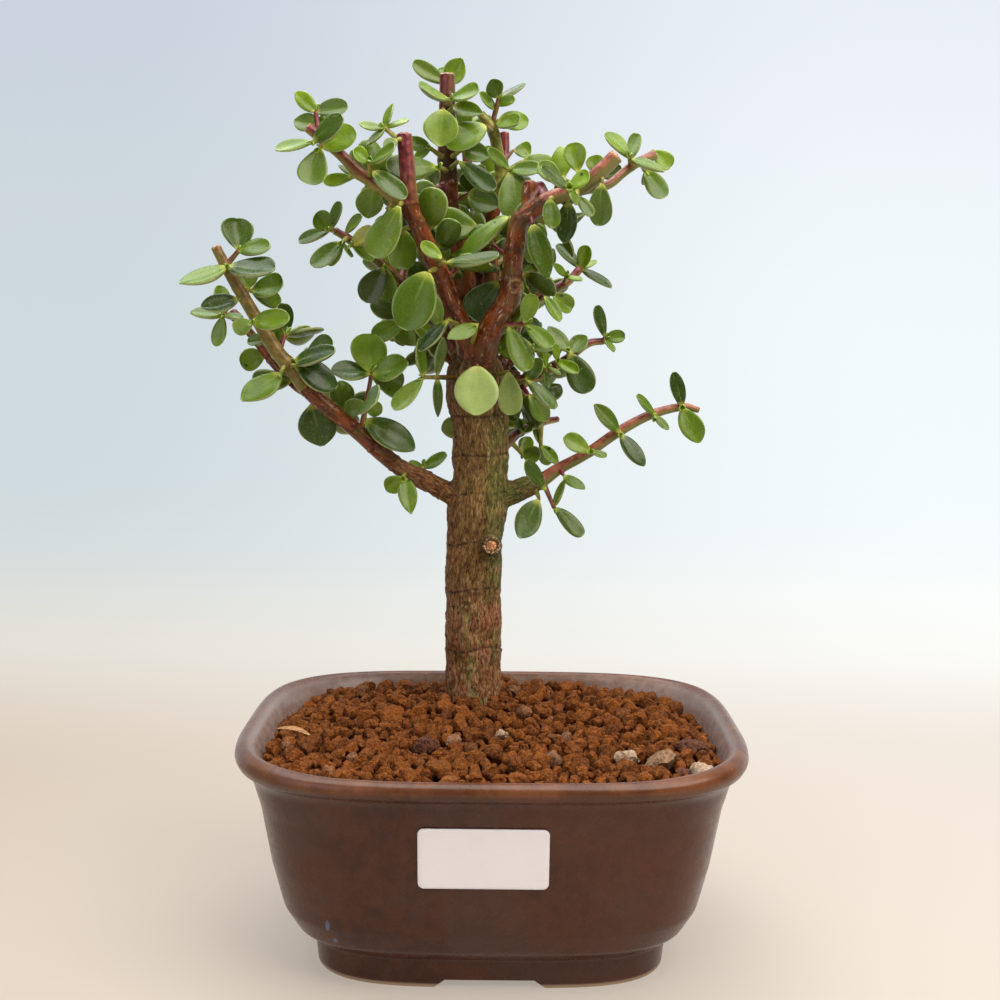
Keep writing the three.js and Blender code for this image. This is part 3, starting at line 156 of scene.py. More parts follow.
# The wood: where young growth starts, and rows of x, y, z and radius from root to tip. Places
# along a limb are counted in rows, so 2.5 is halfway from the third row to the fourth.
LIMBS = {
    "trunk": [11, [[-7, 30, 26, 7.5], [-7, 30, 52, 9.4], [-7, 30, 67, 9.9], [-7, 30, 77, 9.6],
        [-7, 29, 91, 9.8], [-7, 28, 105, 9.6], [-7, 27, 123, 9.6], [-6, 25, 137, 10.2],
        [-5, 24, 150, 9.4], [-5, 22, 164, 9.6], [-6, 21, 176, 10.6], [-7, 20, 185, 9.6]]],
    "low_left": [5.5, [[-8, 25, 140, 5.5], [-14, 23, 142, 3.9], [-23, 20, 147, 3.5],
        [-32, 17, 152, 3.2], [-44, 12, 163, 2.8], [-59, 6, 176, 2.6], [-65, 4, 184, 2.5],
        [-70, 3, 190, 2.3], [-76, 2, 200, 2.1], [-80, 1, 207, 2], [-84, 0, 214, 1.8],
        [-88, -1, 222, 1.6]]],
    "low_left_fork": [5, [[-58, 7, 176, 1.9], [-64, 10, 178, 1.7], [-71, 13, 184, 1.6],
        [-77, 16, 191, 1.6], [-83, 18, 198, 1.6], [-87, 19, 202, 2]]],
    "low_right": [2.8, [[-4, 25, 140, 5], [4, 26, 142, 4.3], [12, 27, 145, 3.7], [16, 27, 147, 2.5],
        [22, 28, 151, 2], [31, 28, 156, 1.8], [41, 29, 163, 1.8], [52, 30, 169, 1.6],
        [63, 31, 172, 1.4], [69, 31, 171, 1]]],
    "centre_left": [7.3, [[-7, 20, 179, 5.5], [-8, 16, 187, 4.6], [-10, 12, 195, 3.8],
        [-14, 8, 204, 3.3], [-18, 4, 215, 3.2], [-21, 2, 221, 3], [-24, 0, 228, 2.9],
        [-27, -2, 235, 2.8], [-28, -2, 246, 2.5], [-29, -2, 257, 2.3]]],
    "upper_left": [1.6, [[-26, -1, 231, 2.5], [-29, -2, 236, 2.4], [-32, -3, 238, 2.2],
        [-38, -4, 242, 2], [-43, -5, 245, 1.9], [-48, -6, 250, 1.7], [-53, -7, 254, 1.6],
        [-58, -8, 258, 1.6]]],
    "leader": [4.6, [[-7, 22, 179, 5], [-8, 25, 191, 4.2], [-10, 28, 207, 3.8], [-12, 30, 224, 3.6],
        [-16, 31, 238, 3.4], [-17, 31, 255, 3.2], [-17, 31, 271, 2.7], [-17, 31, 281, 2.6]]],
    "back_leader": [4.4, [[-4, 26, 179, 4.6], [-3, 33, 197, 3.4], [-2, 36, 214, 3], [-3, 37, 228, 2.7],
        [-1, 36, 239, 2.4], [1, 36, 249, 2.1], [0, 35, 256, 2], [-2, 34, 264, 1.9],
        [-6, 33, 269, 1.4]]],
    "centre_right": [8.2, [[-6, 18, 179, 5.5], [-5, 14, 187, 4.7], [-1, 9, 199, 4.1], [4, 6, 207, 3.9],
        [5, 3, 218, 3.3], [6, 2, 225, 3.2], [7, 1, 231, 3.2], [11, -1, 234, 2.8], [15, -3, 237, 2.5],
        [20, -5, 239, 2.3], [26, -7, 241, 2.3], [31, -9, 245, 2.4], [36, -10, 250, 2.4]]],
    "right_tip": [0, [[26, -7, 240, 1.5], [34, -4, 242, 1.4], [39, -2, 246, 1.4], [43, 0, 249, 1.4],
        [49, 2, 252, 1.6]]],
    "right_back": [1.5, [[-3, 26, 177, 3.4], [3, 34, 187, 2.4], [8, 40, 201, 1.8], [15, 44, 209, 1.7],
        [24, 48, 214, 1.6], [29, 50, 219, 1.3]]],
    "right_mid": [1, [[-3, 26, 175, 3.6], [6, 34, 179, 2.4], [15, 40, 182, 1.9], [25, 45, 188, 1.5],
        [32, 48, 193, 1.4], [38, 50, 194, 1.1]]],
    "right_low": [1, [[-2, 27, 155, 2.8], [4, 35, 159, 2], [8, 42, 162, 1.7], [16, 50, 165, 1.4],
        [22, 56, 166, 1.1]]],
    "back_left": [2.5, [[-9, 26, 177, 4], [-15, 37, 190, 2.9], [-23, 47, 203, 2.4], [-30, 55, 216, 2],
        [-36, 61, 229, 1.8], [-38, 64, 242, 1.5]]],
    "back_high": [2.5, [[-6, 27, 183, 4], [-7, 38, 201, 3], [-6, 48, 218, 2.5], [-7, 56, 234, 2.1],
        [-10, 61, 250, 1.8], [-12, 63, 264, 1.5]]],
    "left_mid": [3.2, [[-9, 22, 181, 3.2], [-16, 24, 195, 2.3], [-24, 25, 206, 2], [-32, 24, 213, 1.8],
        [-40, 22, 220, 1.7], [-48, 20, 226, 1.4], [-53, 19, 229, 1.2]]],
    "pruned_branch": [1, [[-2, 24, 124, 5], [-1, 15, 126, 4.3]]],
    "crown_stub": [2, [[15, 0, 238, 2], [14, 4, 241, 2], [13, 5, 243, 1.9]]],
    "dead_knot": [2, [[10, 1, 233, 2.4], [10, 3, 239, 2.6], [10, 3, 243, 2.4]]],
    "leader_stub": [1, [[-17, 29, 243, 1.6], [-20, 26, 244, 1.6]]],
    "side_stub": [0, [[1, 38, 249, 1.8], [2, 42, 258, 1.8], [2, 43, 264, 1.7]]],
}

# The leafy shoots: name, limb, place on the limb and the stem's tip; then the leaves that are set
# one by one (place on the stem, the leaf's tip, how far it turns from facing the front, and its width
# by its length), and the opposite pairs (place on the stem, roll, length, and spread).
SHOOTS = [
    ["hero", "trunk", 10.8, [-6, 0, 186], [[1, [-6, -4, 170], 0, 0.86]], []],
    ["tip_up", "low_left", 10.3, [-81, -1, 221], [[1, [-82, 3, 231], 12, 0.95],
        [1, [-71, -6, 223], 42, 0.6]], []],
    ["tip_pair", "low_left", 10.2, [-84, -4, 216], [[1, [-97, -6, 208], 48, 0.6],
        [1, [-68, -9, 213], 50, 0.6]], []],
    ["tip_back", "low_left", 9.4, [-79, 9, 209], [[0.7, [-80, 9, 217], 12, 0.9],
        [1, [-68, 5, 211], 35, 0.75], [1, [-66, 11, 206], 15, 0.6], [0.7, [-70, 12, 215], 12, 0.8]],
        []],
    ["tip_left", "low_left", 9, [-81, -1, 206], [[1, [-92, -4, 202], 38, 0.6],
        [1, [-72, 4, 206], 60, 0.6]], []],
    ["fork_end", "low_left_fork", 4.9, [-89, 14, 201], [[1, [-100, 14, 201], 62, 0.62],
        [1, [-90, 16, 211], 55, 0.6], [1, [-91, 14, 191], 12, 0.52], [1, [-82, 11, 200], 58, 0.5]], []],
    ["cross", "low_left", 8, [-76, -5, 199], [[1, [-64, -8, 200], 26, 0.62],
        [1, [-82, -3, 196], 18, 0.8]], []],
    ["cross_low", "low_left", 7.4, [-72, 4, 194], [[1, [-80, 4, 193], 35, 0.55]], [[1, 10, 9, 60]]],
    ["inner_up", "low_left", 6.4, [-66, 8, 189], [[1, [-69, 12, 196], 18, 0.8],
        [1, [-60, 1, 194], 8, 1]], []],
    ["inner_back", "low_left", 6, [-61, 6, 189], [[1, [-52, 6, 193], 14, 0.7]], []],
    ["inner_pair", "low_left", 6.1, [-64, -2, 186], [[1, [-50, -6, 190], 50, 0.6],
        [1, [-50, 0, 179], 28, 0.58]], []],
    ["outer_pair", "low_left", 6.4, [-68, -1, 183], [[1, [-79, -5, 173], 33, 0.6],
        [1, [-73, 3, 175], 60, 0.4]], []],
    ["fork_round", "low_left_fork", 2.8, [-76, 17, 188], [[1, [-84, 17, 186], 5, 0.9],
        [1, [-76, 20, 182], 25, 0.8]], []],
    ["under_big", "low_left", 4.9, [-60, 13, 173], [[1, [-57, 15, 159], 3, 0.9]], []],
    ["riser", "low_left", 4, [-40, 7, 183], [[1, [-42, 10, 195], 12, 0.95],
        [1, [-53, 5, 183], 42, 0.62], [1, [-27, 4, 185], 28, 0.7], [0.94, [-30, 13, 179], 15, 0.8],
        [0.6, [-39, -3, 174], 0, 0.9], [0.5, [-49, 12, 171], 12, 0.8], [0.5, [-38, 14, 170], 15, 0.8],
        [0.24, [-26, 9, 159], 22, 0.52]], []],
    ["elbow_drop", "low_left", 2.8, [-30, 12, 149], [[1, [-27, 6, 138], 15, 0.5],
        [1, [-36, 15, 144], 12, 0.75], [1, [-26, 17, 135], 12, 0.62]], []],
    ["elbow_up", "low_left", 2.1, [-24, 24, 151], [[1, [-14, 23, 154], 40, 0.6],
        [1, [-29, 26, 153], 50, 0.5]], []],
    ["upper_left_twig", "upper_left", 6.3, [-56, -5, 263], [[1, [-62, -6, 269], 18, 0.6],
        [1, [-46, -7, 265], 22, 0.6], [0.45, [-63, -3, 261], 18, 0.75], [0.4, [-49, 0, 262], 25, 0.7]],
        []],
    ["upper_left_front", "upper_left", 6.2, [-56, -12, 253], [[1, [-67, -15, 251], 42, 0.48],
        [1, [-46, -16, 260], 28, 0.6]], []],
    ["upper_left_hang", "upper_left", 5.9, [-54, -10, 252], [[1, [-57, -11, 240], 4, 0.72],
        [1, [-44, -1, 256], 8, 0.72]], []],
    ["upper_left_left", "upper_left", 3.9, [-45, -2, 244], [[1, [-54, -3, 242], 22, 0.5],
        [1, [-50, 2, 247], 58, 0.5]], []],
    ["upper_left_node", "upper_left", 3.3, [-39, -9, 247], [[1, [-44, -11, 251], 35, 0.8],
        [1, [-30, -12, 251], 48, 0.6]], []],
    ["upper_left_front2", "upper_left", 2.9, [-38, -10, 245], [[1, [-28, -13, 236], 30, 0.5]], []],
    ["upper_left_back", "upper_left", 3, [-39, 2, 242], [[1, [-41, 5, 232], 6, 0.85]],
        [[1, 80, 11, 60]]],
    ["upper_left_big", "upper_left", 1.2, [-30, -7, 235], [[1, [-38, -9, 219], 8, 0.55]], []],
    ["left_mid_end", "left_mid", 6, [-54, 16, 229], [[1, [-51, 18, 238], 36, 0.5],
        [1, [-59, 13, 234], 12, 0.9], [1, [-66, 15, 227], 42, 0.5]], []],
    ["left_mid_down", "left_mid", 5.2, [-50, 14, 225], [[1, [-59, 12, 216], 26, 0.55],
        [1, [-55, 18, 218], 20, 0.5], [1, [-47, 14, 220], 42, 0.5]], []],
    ["left_mid_up", "left_mid", 5, [-50, 20, 228], [[1, [-44, 19, 234], 32, 0.5],
        [1, [-56, 23, 226], 16, 0.9], [1, [-51, 23, 232], 36, 0.6]], []],
    ["left_mid_yellow", "left_mid", 4.7, [-47, 12, 224], [[1, [-39, 10, 229], 26, 0.6],
        [1, [-40, 13, 219], 28, 0.45]], []],
    ["left_mid_dark", "left_mid", 3.4, [-36, 12, 217], [[1, [-43, 11, 206], 6, 0.66],
        [1, [-49, 17, 208], 12, 0.48], [1, [-38, 15, 204], 8, 0.8]], []],
    ["centre_left_tip", "centre_left", 8.7, [-35, -1, 259], [[1, [-43, -2, 259], 38, 0.45],
        [1, [-33, 0, 267], 42, 0.42], [1, [-28, -2, 264], 42, 0.42], [1, [-42, -3, 254], 32, 0.5]], []],
    ["centre_left_bud", "centre_left", 8.9, [-31, -5, 255], [[1, [-35, -7, 252], 20, 0.75]], []],
    ["centre_left_back", "centre_left", 6.2, [-30, 7, 229], [[1, [-30, 7, 216], 5, 0.72]], []],
    ["centre_left_small", "centre_left", 4.7, [-17, -5, 219], [[1, [-24, -6, 223], 32, 0.6]], []],
    ["centre_left_big", "centre_left", 4.2, [-21, -6, 215], [[1, [-29, -8, 197], 4, 0.68]], []],
    ["centre_left_ledge", "centre_left", 4.4, [-16, -3, 218], [[1, [1, -6, 217], 46, 0.38]], []],
    ["centre_left_oval", "centre_left", 2.8, [-18, 2, 198], [[1, [-21, 0, 210], 12, 0.45]], []],
    ["centre_left_edge", "centre_left", 2.4, [-15, -1, 200], [[1, [-24, -3, 190], 46, 0.4]], []],
    ["centre_left_behind", "centre_left", 3.3, [-29, 14, 200], [[1, [-40, 13, 194], 16, 0.55],
        [1, [-30, 18, 192], 12, 0.8], [0.9, [-22, 17, 193], 26, 0.6]], []],
    ["centre_left_curl", "centre_left", 1.4, [-6, 1, 199], [[1, [-15, -5, 193], 38, 0.5]], []],
    ["top_pair", "leader", 6, [-16, 24, 272], [[1, [-28, 18, 269], 32, 0.7],
        [1, [-6, 20, 274], 36, 0.6]], []],
    ["top_back", "leader", 6.3, [-17, 37, 279], [[1, [-29, 38, 285], 18, 0.42],
        [1, [-21, 42, 286], 8, 0.85], [1, [-12, 41, 287], 8, 0.8]], []],
    ["top_mid", "leader", 5.8, [-15, 25, 270], [[1, [-5, 22, 266], 26, 0.6],
        [1, [-24, 29, 270], 26, 0.6]], []],
    ["top_pale", "leader", 5.7, [-18, 18, 268], [[1, [-19, 16, 256], 4, 0.95]], []],
    ["leader_left", "leader", 4.7, [-19, 14, 249], [[1, [-36, 3, 246], 20, 0.42],
        [1, [-22, 19, 245], 12, 0.7]], []],
    ["leader_twig", "leader", 4.9, [-22, 22, 256], [[1, [-30, 19, 258], 16, 0.62],
        [1, [-27, 24, 253], 36, 0.6]], []],
    ["leader_r1", "leader", 4.9, [-12, 24, 256], [[1, [-3, 26, 254], 16, 0.8],
        [1, [-11, 29, 262], 26, 0.6]], []],
    ["leader_r2", "leader", 4.7, [-13, 22, 252], [[1, [-1, 21, 242], 12, 0.45]], []],
    ["leader_r3", "leader", 4, [-10, 26, 242], [[1, [0, 28, 238], 4, 0.85]], []],
    ["leader_front", "leader", 3.3, [-6, 15, 230], [[1, [-22, 11, 232], 8, 0.65]], []],
    ["leader_dark", "leader", 2.7, [-15, 18, 221], [[1, [-6, 19, 223], 30, 0.4]], []],
    ["back_leader_top", "back_leader", 7.1, [0, 33, 274], [[1, [-3, 30, 280], 6, 0.85],
        [1, [9, 37, 278], 58, 0.45], [0.75, [5, 30, 274], 32, 0.55], [0.6, [-7, 33, 275], 45, 0.6],
        [0.8, [12, 33, 269], 38, 0.5]], []],
    ["back_leader_big", "back_leader", 6.9, [-4, 25, 264], [[1, [-17, 21, 256], 12, 0.68]], []],
    ["back_leader_right", "back_leader", 6.8, [0, 32, 267], [[1, [10, 33, 266], 12, 0.72],
        [0.9, [11, 27, 259], 16, 0.58]], []],
    ["back_leader_low", "back_leader", 5.5, [5, 40, 258], [[1, [11, 42, 258], 16, 0.9]], []],
    ["back_leader_low2", "back_leader", 5, [8, 36, 254], [[1, [19, 37, 252], 22, 0.7]], []],
    ["back_leader_pair", "back_leader", 4.6, [4, 20, 249], [[1, [-4, 16, 255], 26, 0.42],
        [1, [14, 16, 249], 32, 0.58], [1, [7, 15, 233], 8, 0.66]], []],
    ["centre_right_long", "centre_right", 5.6, [4, 7, 233], [[1, [-12, 5, 222], 38, 0.36]], []],
    ["centre_right_round", "centre_right", 3.1, [1, 13, 213], [[1, [-8, 13, 201], 4, 0.8]], []],
    ["centre_right_in", "centre_right", 5.1, [8, 8, 226], [[1, [13, 10, 220], 8, 0.9]], []],
    ["centre_right_drop", "centre_right", 6.9, [11, -5, 230], [[1, [16, -6, 213], 6, 0.42]], []],
    ["centre_right_h1", "centre_right", 8.5, [16, -10, 237], [[1, [17, -12, 228], 16, 0.62]], []],
    ["centre_right_left", "centre_right", 8.7, [20, 1, 243], [[1, [13, 5, 249], 22, 0.6]], []],
    ["centre_right_fan", "centre_right", 9.5, [22, -14, 240], [[1, [12, -16, 244], 42, 0.5],
        [1, [28, -16, 244], 26, 0.8], [1, [24, -19, 235], 36, 0.45]], []],
    ["centre_right_up", "centre_right", 9.7, [25, -2, 246], [[1, [23, -1, 255], 6, 0.78]], []],
    ["centre_right_front2", "centre_right", 9.8, [24, -12, 238], [[1, [29, -15, 232], 22, 0.52]], []],
    ["centre_right_h2", "centre_right", 9.2, [22, -4, 237], [[1, [21, -4, 224], 3, 0.52]], []],
    ["centre_right_back", "centre_right", 10.6, [32, 6, 246], [[1, [30, 8, 252], 16, 0.9],
        [1, [40, 6, 249], 22, 0.75]], []],
    ["centre_right_h3", "centre_right", 11.1, [32, -11, 242], [[1, [31, -12, 229], 4, 0.58]], []],
    ["centre_right_side", "centre_right", 10.8, [34, -5, 243], [[1, [42, -7, 237], 22, 0.7]], []],
    ["right_tip_fan", "right_tip", 2.7, [41, -3, 250], [[1, [34, -2, 259], 36, 0.5],
        [1, [44, 2, 257], 26, 0.5], [1, [51, -9, 246], 42, 0.38]], []],
    ["right_tip_end", "right_tip", 3.6, [49, 6, 254], [[1, [55, 6, 249], 8, 0.8]], []],
    ["right_tip_drop", "right_tip", 3.3, [46, 0, 247], [[1, [52, -2, 238], 8, 0.64],
        [1, [47, 4, 243], 22, 0.6]], []],
    ["right_back_tip", "right_back", 4.8, [29, 50, 219], [[1, [21, 52, 228], 36, 0.42],
        [1, [32, 48, 227], 16, 0.62], [1, [40, 46, 213], 44, 0.35], [1, [35, 53, 222], 56, 0.4]], []],
    ["right_back_node", "right_back", 3.9, [24, 44, 216], [[1, [19, 42, 220], 42, 0.5],
        [1, [29, 39, 214], 46, 0.5]], []],
    ["right_back_round", "right_back", 2.5, [11, 36, 211], [[1, [12, 37, 220], 6, 0.68],
        [1, [8, 35, 215], 40, 0.42]], []],
    ["right_back_low", "right_back", 3.4, [19, 42, 210], [[1, [26, 45, 205], 12, 0.75]], []],
    ["right_back_front", "right_back", 3.1, [16, 38, 209], [[1, [22, 35, 201], 30, 0.5]], []],
    ["fork_star", "centre_right", 2, [9, 3, 199], [[1, [11, 5, 210], 12, 0.58],
        [1, [18, 0, 192], 30, 0.5], [0.5, [10, 3, 184], 8, 0.45], [0.5, [5, 10, 205], 45, 0.4],
        [0.7, [8, 10, 206], 36, 0.5]], []],
    ["fork_c", "right_mid", 1.4, [12, 26, 191], [[1, [19, 25, 191], 40, 0.5],
        [1, [1, 30, 192], 8, 0.75]], []],
    ["fork_d", "right_mid", 2, [17, 32, 185], [[1, [22, 31, 183], 56, 0.38],
        [1, [16, 33, 190], 40, 0.5], [0.8, [18, 32, 178], 36, 0.42]], []],
    ["fork_e", "right_mid", 1.4, [10, 20, 181], [[1, [15, 19, 188], 12, 0.68]], []],
    ["fork_f", "right_mid", 1.1, [10, 15, 181], [[1, [20, 13, 172], 40, 0.42]], []],
    ["fork_g", "right_mid", 1.2, [11, 28, 176], [[1, [18, 28, 167], 10, 0.6]], []],
    ["disc", "trunk", 10.5, [4, 8, 184], [[1, [5, 7, 170], 4, 0.58]], []],
    ["fork_left", "trunk", 10.6, [-23, 4, 182], [[1, [-26, 4, 194], 46, 0.35],
        [1, [-32, 1, 171], 32, 0.42], [0.75, [-18, 7, 195], 40, 0.3], [0.75, [-19, 10, 169], 26, 0.28]],
        []],
    ["right_mid_tip", "right_mid", 4.8, [38, 48, 195], [[1, [34, 49, 206], 36, 0.45],
        [1, [45, 48, 196], 8, 0.7], [1, [34, 46, 199], 42, 0.5], [1, [42, 43, 191], 42, 0.5],
        [1, [46, 45, 185], 16, 0.5]], []],
    ["right_mid_node", "right_mid", 3.1, [25, 42, 190], [[1, [18, 43, 199], 26, 0.5],
        [1, [31, 46, 195], 12, 0.7], [1, [32, 40, 176], 6, 0.62]], []],
    ["right_mid_base", "right_mid", 2.6, [21, 36, 187], [[1, [20, 35, 193], 20, 0.5],
        [1, [28, 32, 183], 24, 0.5]], []],
    ["right_low_a", "right_low", 2.1, [9, 38, 163], [[1, [13, 37, 163], 46, 0.6],
        [1, [7, 40, 167], 26, 0.6]], []],
    ["right_low_c", "right_low", 1.2, [9, 40, 155], [[1, [5, 40, 161], 8, 0.7],
        [1, [16, 38, 154], 8, 0.85], [1, [12, 44, 160], 16, 0.8], [1, [8, 38, 146], 12, 0.8]], []],
    ["right_low_d", "right_low", 3, [16, 50, 157], [[1, [22, 47, 150], 26, 0.52],
        [1, [14, 52, 164], 26, 0.45], [1, [19, 54, 150], 16, 0.7]], []],
    ["low_right_a", "low_right", 2.9, [17, 21, 144], [[1, [9, 19, 154], 32, 0.4]], []],
    ["low_right_b", "low_right", 4, [23, 23, 149], [[1, [30, 20, 144], 32, 0.5]], []],
    ["low_right_c", "low_right", 5.1, [32, 24, 157], [[1, [23, 21, 162], 24, 0.6],
        [1, [37, 26, 155], 42, 0.5], [1, [30, 27, 160], 46, 0.5]], []],
    ["low_right_d", "low_right", 6.1, [42, 26, 163], [[1, [33, 24, 173], 32, 0.42],
        [1, [50, 24, 152], 26, 0.42]], []],
    ["low_right_e", "low_right", 7.2, [54, 28, 169], [[1, [47, 26, 176], 42, 0.42],
        [1, [58, 28, 164], 32, 0.5]], []],
    ["low_right_f", "low_right", 8, [63, 29, 172], [[1, [60, 29, 184], 8, 0.42],
        [1, [69, 27, 160], 6, 0.6]], []],
    ["low_right_g", "low_right", 2.2, [15, 22, 141], [[1, [8, 20, 128], 3, 0.6]], []],
    ["low_right_h", "low_right", 3, [20, 24, 138], [[1, [23, 25, 148], 46, 0.32],
        [1, [30, 21, 129], 20, 0.42]], []],
    ["rear_1", "back_left", 1.6, [-24, 62, 202], [], [[0.5, 0, 12, 70], [1, 85, 13, 60]]],
    ["rear_2", "back_left", 2.6, [-34, 66, 214], [], [[0.5, 10, 13, 70], [1, 85, 13, 60]]],
    ["rear_3", "back_left", 3.6, [-39, 70, 228], [], [[0.5, 10, 12, 70], [1, 90, 12, 60]]],
    ["rear_4", "back_left", 4.7, [-41, 70, 245], [], [[0.35, 80, 11, 72], [0.7, 0, 11, 62],
        [1, 85, 9, 45]]],
    ["rear_5", "back_left", 3, [-27, 68, 222], [], [[0.5, 30, 12, 70], [1, 110, 12, 60]]],
    ["rear_6", "back_high", 0.8, [-2, 58, 202], [], [[0.5, 0, 13, 70], [1, 85, 13, 60]]],
    ["rear_7", "back_high", 2, [-1, 66, 223], [], [[0.5, 20, 12, 70], [1, 100, 13, 60]]],
    ["rear_8", "back_high", 2.9, [-14, 68, 239], [], [[0.5, 10, 12, 70], [1, 85, 12, 60]]],
    ["rear_9", "back_high", 3.8, [-4, 72, 253], [], [[0.5, 10, 12, 70], [1, 95, 11, 60]]],
    ["rear_10", "back_high", 4.8, [-12, 64, 268], [], [[0.3, 80, 11, 72], [0.7, 0, 11, 62],
        [1, 85, 9, 45]]],
    ["rear_11", "right_mid", 2, [17, 60, 186], [], [[0.5, 0, 12, 70], [1, 85, 12, 60]]],
    ["rear_12", "right_back", 3, [15, 62, 214], [], [[0.5, 0, 11, 70], [1, 85, 11, 60]]],
    ["rear_13", "trunk", 8.8, [-8, 46, 163], [], [[0.5, 80, 12, 70], [1, 0, 12, 60]]],
    ["rear_14", "low_left", 4.4, [-50, 24, 172], [], [[0.5, 80, 11, 70], [1, 0, 11, 60]]],
    ["rear_15", "leader", 2.3, [-16, 46, 216], [], [[0.5, 10, 12, 70], [1, 85, 12, 60]]],
    ["rear_16", "leader", 4, [-21, 46, 243], [], [[0.5, 10, 12, 70], [1, 85, 12, 60]]],
    ["rear_17", "back_leader", 2, [4, 50, 219], [], [[0.5, 10, 12, 70], [1, 85, 12, 60]]],
    ["rear_18", "back_leader", 3.4, [4, 52, 238], [], [[0.5, 10, 12, 70], [1, 85, 12, 60]]],
    ["rear_19", "centre_right", 9.2, [21, 12, 246], [], [[0.5, 10, 11, 70], [1, 85, 11, 60]]],
    ["rear_20", "right_low", 2.1, [6, 58, 165], [], [[0.5, 10, 11, 70], [1, 85, 11, 60]]],
    ["rear_21", "low_left", 7, [-70, 20, 194], [], [[0.5, 80, 11, 70], [1, 0, 11, 60]]],
    ["rear_22", "upper_left", 3, [-40, 12, 248], [], [[0.5, 80, 11, 70], [1, 0, 11, 60]]],
    ["rear_23", "left_mid", 3, [-36, 36, 218], [], [[0.5, 80, 11, 70], [1, 0, 11, 60]]],
]

CUT_ENDS = ("pruned_branch", "crown_stub", "leader_stub")  # limbs that end in a cut
RED_ENDS = ("leader_stub", "crown_stub", "left_mid", "upper_left")  # wood that is red at its end
TWIG_PARENTS = {"right_tip": "centre_right", "side_stub": "back_leader"}
# How red a limb's young end is, and how woody it has turned, or how dusty where that is below 0.
BLUSH = {
    "low_left": (0.5, 0.12), "low_right": (0.4, -0.8), "upper_left": (1.0, 0.1),
    "leader": (0.8, 1.0), "left_mid": (0.7, 0.3), "back_leader": (0.04, 0.1),
    "centre_left": (1.0, 0.0), "back_high": (0.8, 0.5), "side_stub": (1.0, 0.0),
    "centre_right": (0.7, -0.6), "right_tip": (0.8, -0.4),
}
OTHER_BLUSH = (0.9, 0.0)
WOODY_STEMS = ("fork_left", "disc")
# How a stub's radius changes from its root to its cut end.
STUB_TAPER = {"pruned_branch": ([0, 0.5, 0.75, 1], [0.94, 0.84, 0.76, 0.7])}
# Small shoots inside the crown: the limb, from and to which place, how many, and their length.
INNER_SHOOTS = [
    ("leader", 1.0, 4.4, 8, 12), ("back_leader", 1.0, 4.2, 8, 13), ("left_mid", 0.8, 3.0, 6, 12),
    ("centre_left", 2.0, 7.0, 8, 11), ("centre_right", 3.0, 8.0, 8, 11),
    ("back_left", 0.5, 2.5, 6, 13), ("back_high", 0.5, 2.5, 6, 13), ("right_back", 0.3, 1.5, 5, 12),
    ("right_mid", 0.2, 1.0, 4, 11), ("upper_left", 0.2, 1.6, 4, 10), ("low_left", 5.0, 8.0, 4, 8),
]
# Leaves whose look is known: the shoot whose first leaf it is, then its tone from dark to light,
# its brightness, and its kind (-1 waxy and pale, 1 yellowing, 2 browned).
SPECIAL_LEAVES = {
    "left_mid_yellow": (0.5, 0.5, 1.0), "left_mid_dark": (0.1, 0.2, 2.0), "hero": (0.9, 0.8, -1.0),
    "disc": (0.4, 0.95, -0.5), "centre_left_big": (0.3, 0.55, 0.0),
    # Painted shade: the low tone and brightness of centre_right_round stand for the shade between the
    # limbs it lies in.
    "centre_right_round": (0.1, 0.3, 0.0), "upper_left_big": (0.3, 0.8, 0.0),
    "top_pale": (0.7, 0.95, 0.0), "back_leader_big": (0.6, 0.6, 0.0),
    "leader_front": (0.4, 0.45, 0.0), "riser": (0.7, 0.6, 0.0), "under_big": (0.15, 0.3, 0.0),
    "centre_right_drop": (0.25, 0.3, 0.0), "centre_right_long": (0.5, 0.7, 0.0),
    "leader_left": (0.3, 0.3, 0.0), "tip_pair": (0.6, 0.55, 0.0), "outer_pair": (0.55, 0.4, 0.0),
}


# ---------------------------------------------------------------- small tools

UP = np.array([0.0, 0.0, 1.0])
FRONT = np.array([0.0, -1.0, 0.0])


def random_source(seed):
    """Park-Miller random numbers, the same on every run."""
    state = seed
    while True:
        state = state * 48271 % 2147483647
        yield state / 2147483647


def unit(vector):
    return vector / math.sqrt(float(vector @ vector))


def lerp(a, b, share):
    return a + (b - a) * share


def signed_power(values, exponent):
    return np.sign(values) * np.abs(values) ** exponent


def place(points):
    """Millimetres round the pot's centre line to metres in the model's frame."""
    return (np.asarray(points, float) + POT_CENTRE) * MM


class Path:
    """A uniform Catmull-Rom curve through a limb's rows; a place on it is counted in rows."""

    def __init__(self, rows):
        self.rows = np.array(rows, float)
        self.last = len(rows) - 1

    def point(self, at):
        rows = self.rows[:, :3]
        i = min(int(at), self.last - 1)
        w = at - i
        p1, p2 = rows[i], rows[i + 1]
        p0 = rows[i - 1] if i > 0 else 2 * p1 - p2
        p3 = rows[i + 2] if i + 2 <= self.last else 2 * p2 - p1
        t1, t2 = 0.5 * (p2 - p0), 0.5 * (p3 - p1)
        return p1 + w * (t1 + w * (-3 * p1 + 3 * p2 - 2 * t1 - t2 + w * (2 * p1 - 2 * p2 + t1 + t2)))

    def radius(self, at):
        i = min(int(at), self.last - 1)
        return lerp(self.rows[i, 3], self.rows[i + 1, 3], at - i)


class Stem:
    """A straight tapering stem: place 0 is its root, 1 its tip, and it runs on a little."""

    def __init__(self, root, tip):
        self.root, self.tip = root, tip
        self.last = 1 + STEM_END / math.dist(root, tip)

    def point(self, at):
        return lerp(self.root, self.tip, at)

    def radius(self, at):
        return lerp(*STEM_SIZE, at)


PATHS = {name: Path(rows) for name, (_, rows) in LIMBS.items()}

# ---------------------------------------------------------------- where the leaves are

LEAF_LENGTH_SPREAD = (0.92, 0.14)
LEAF_WIDTH_SPREAD = (0.7, 0.16)
LEAF_JITTER = {"roll": 16, "spread": 12}
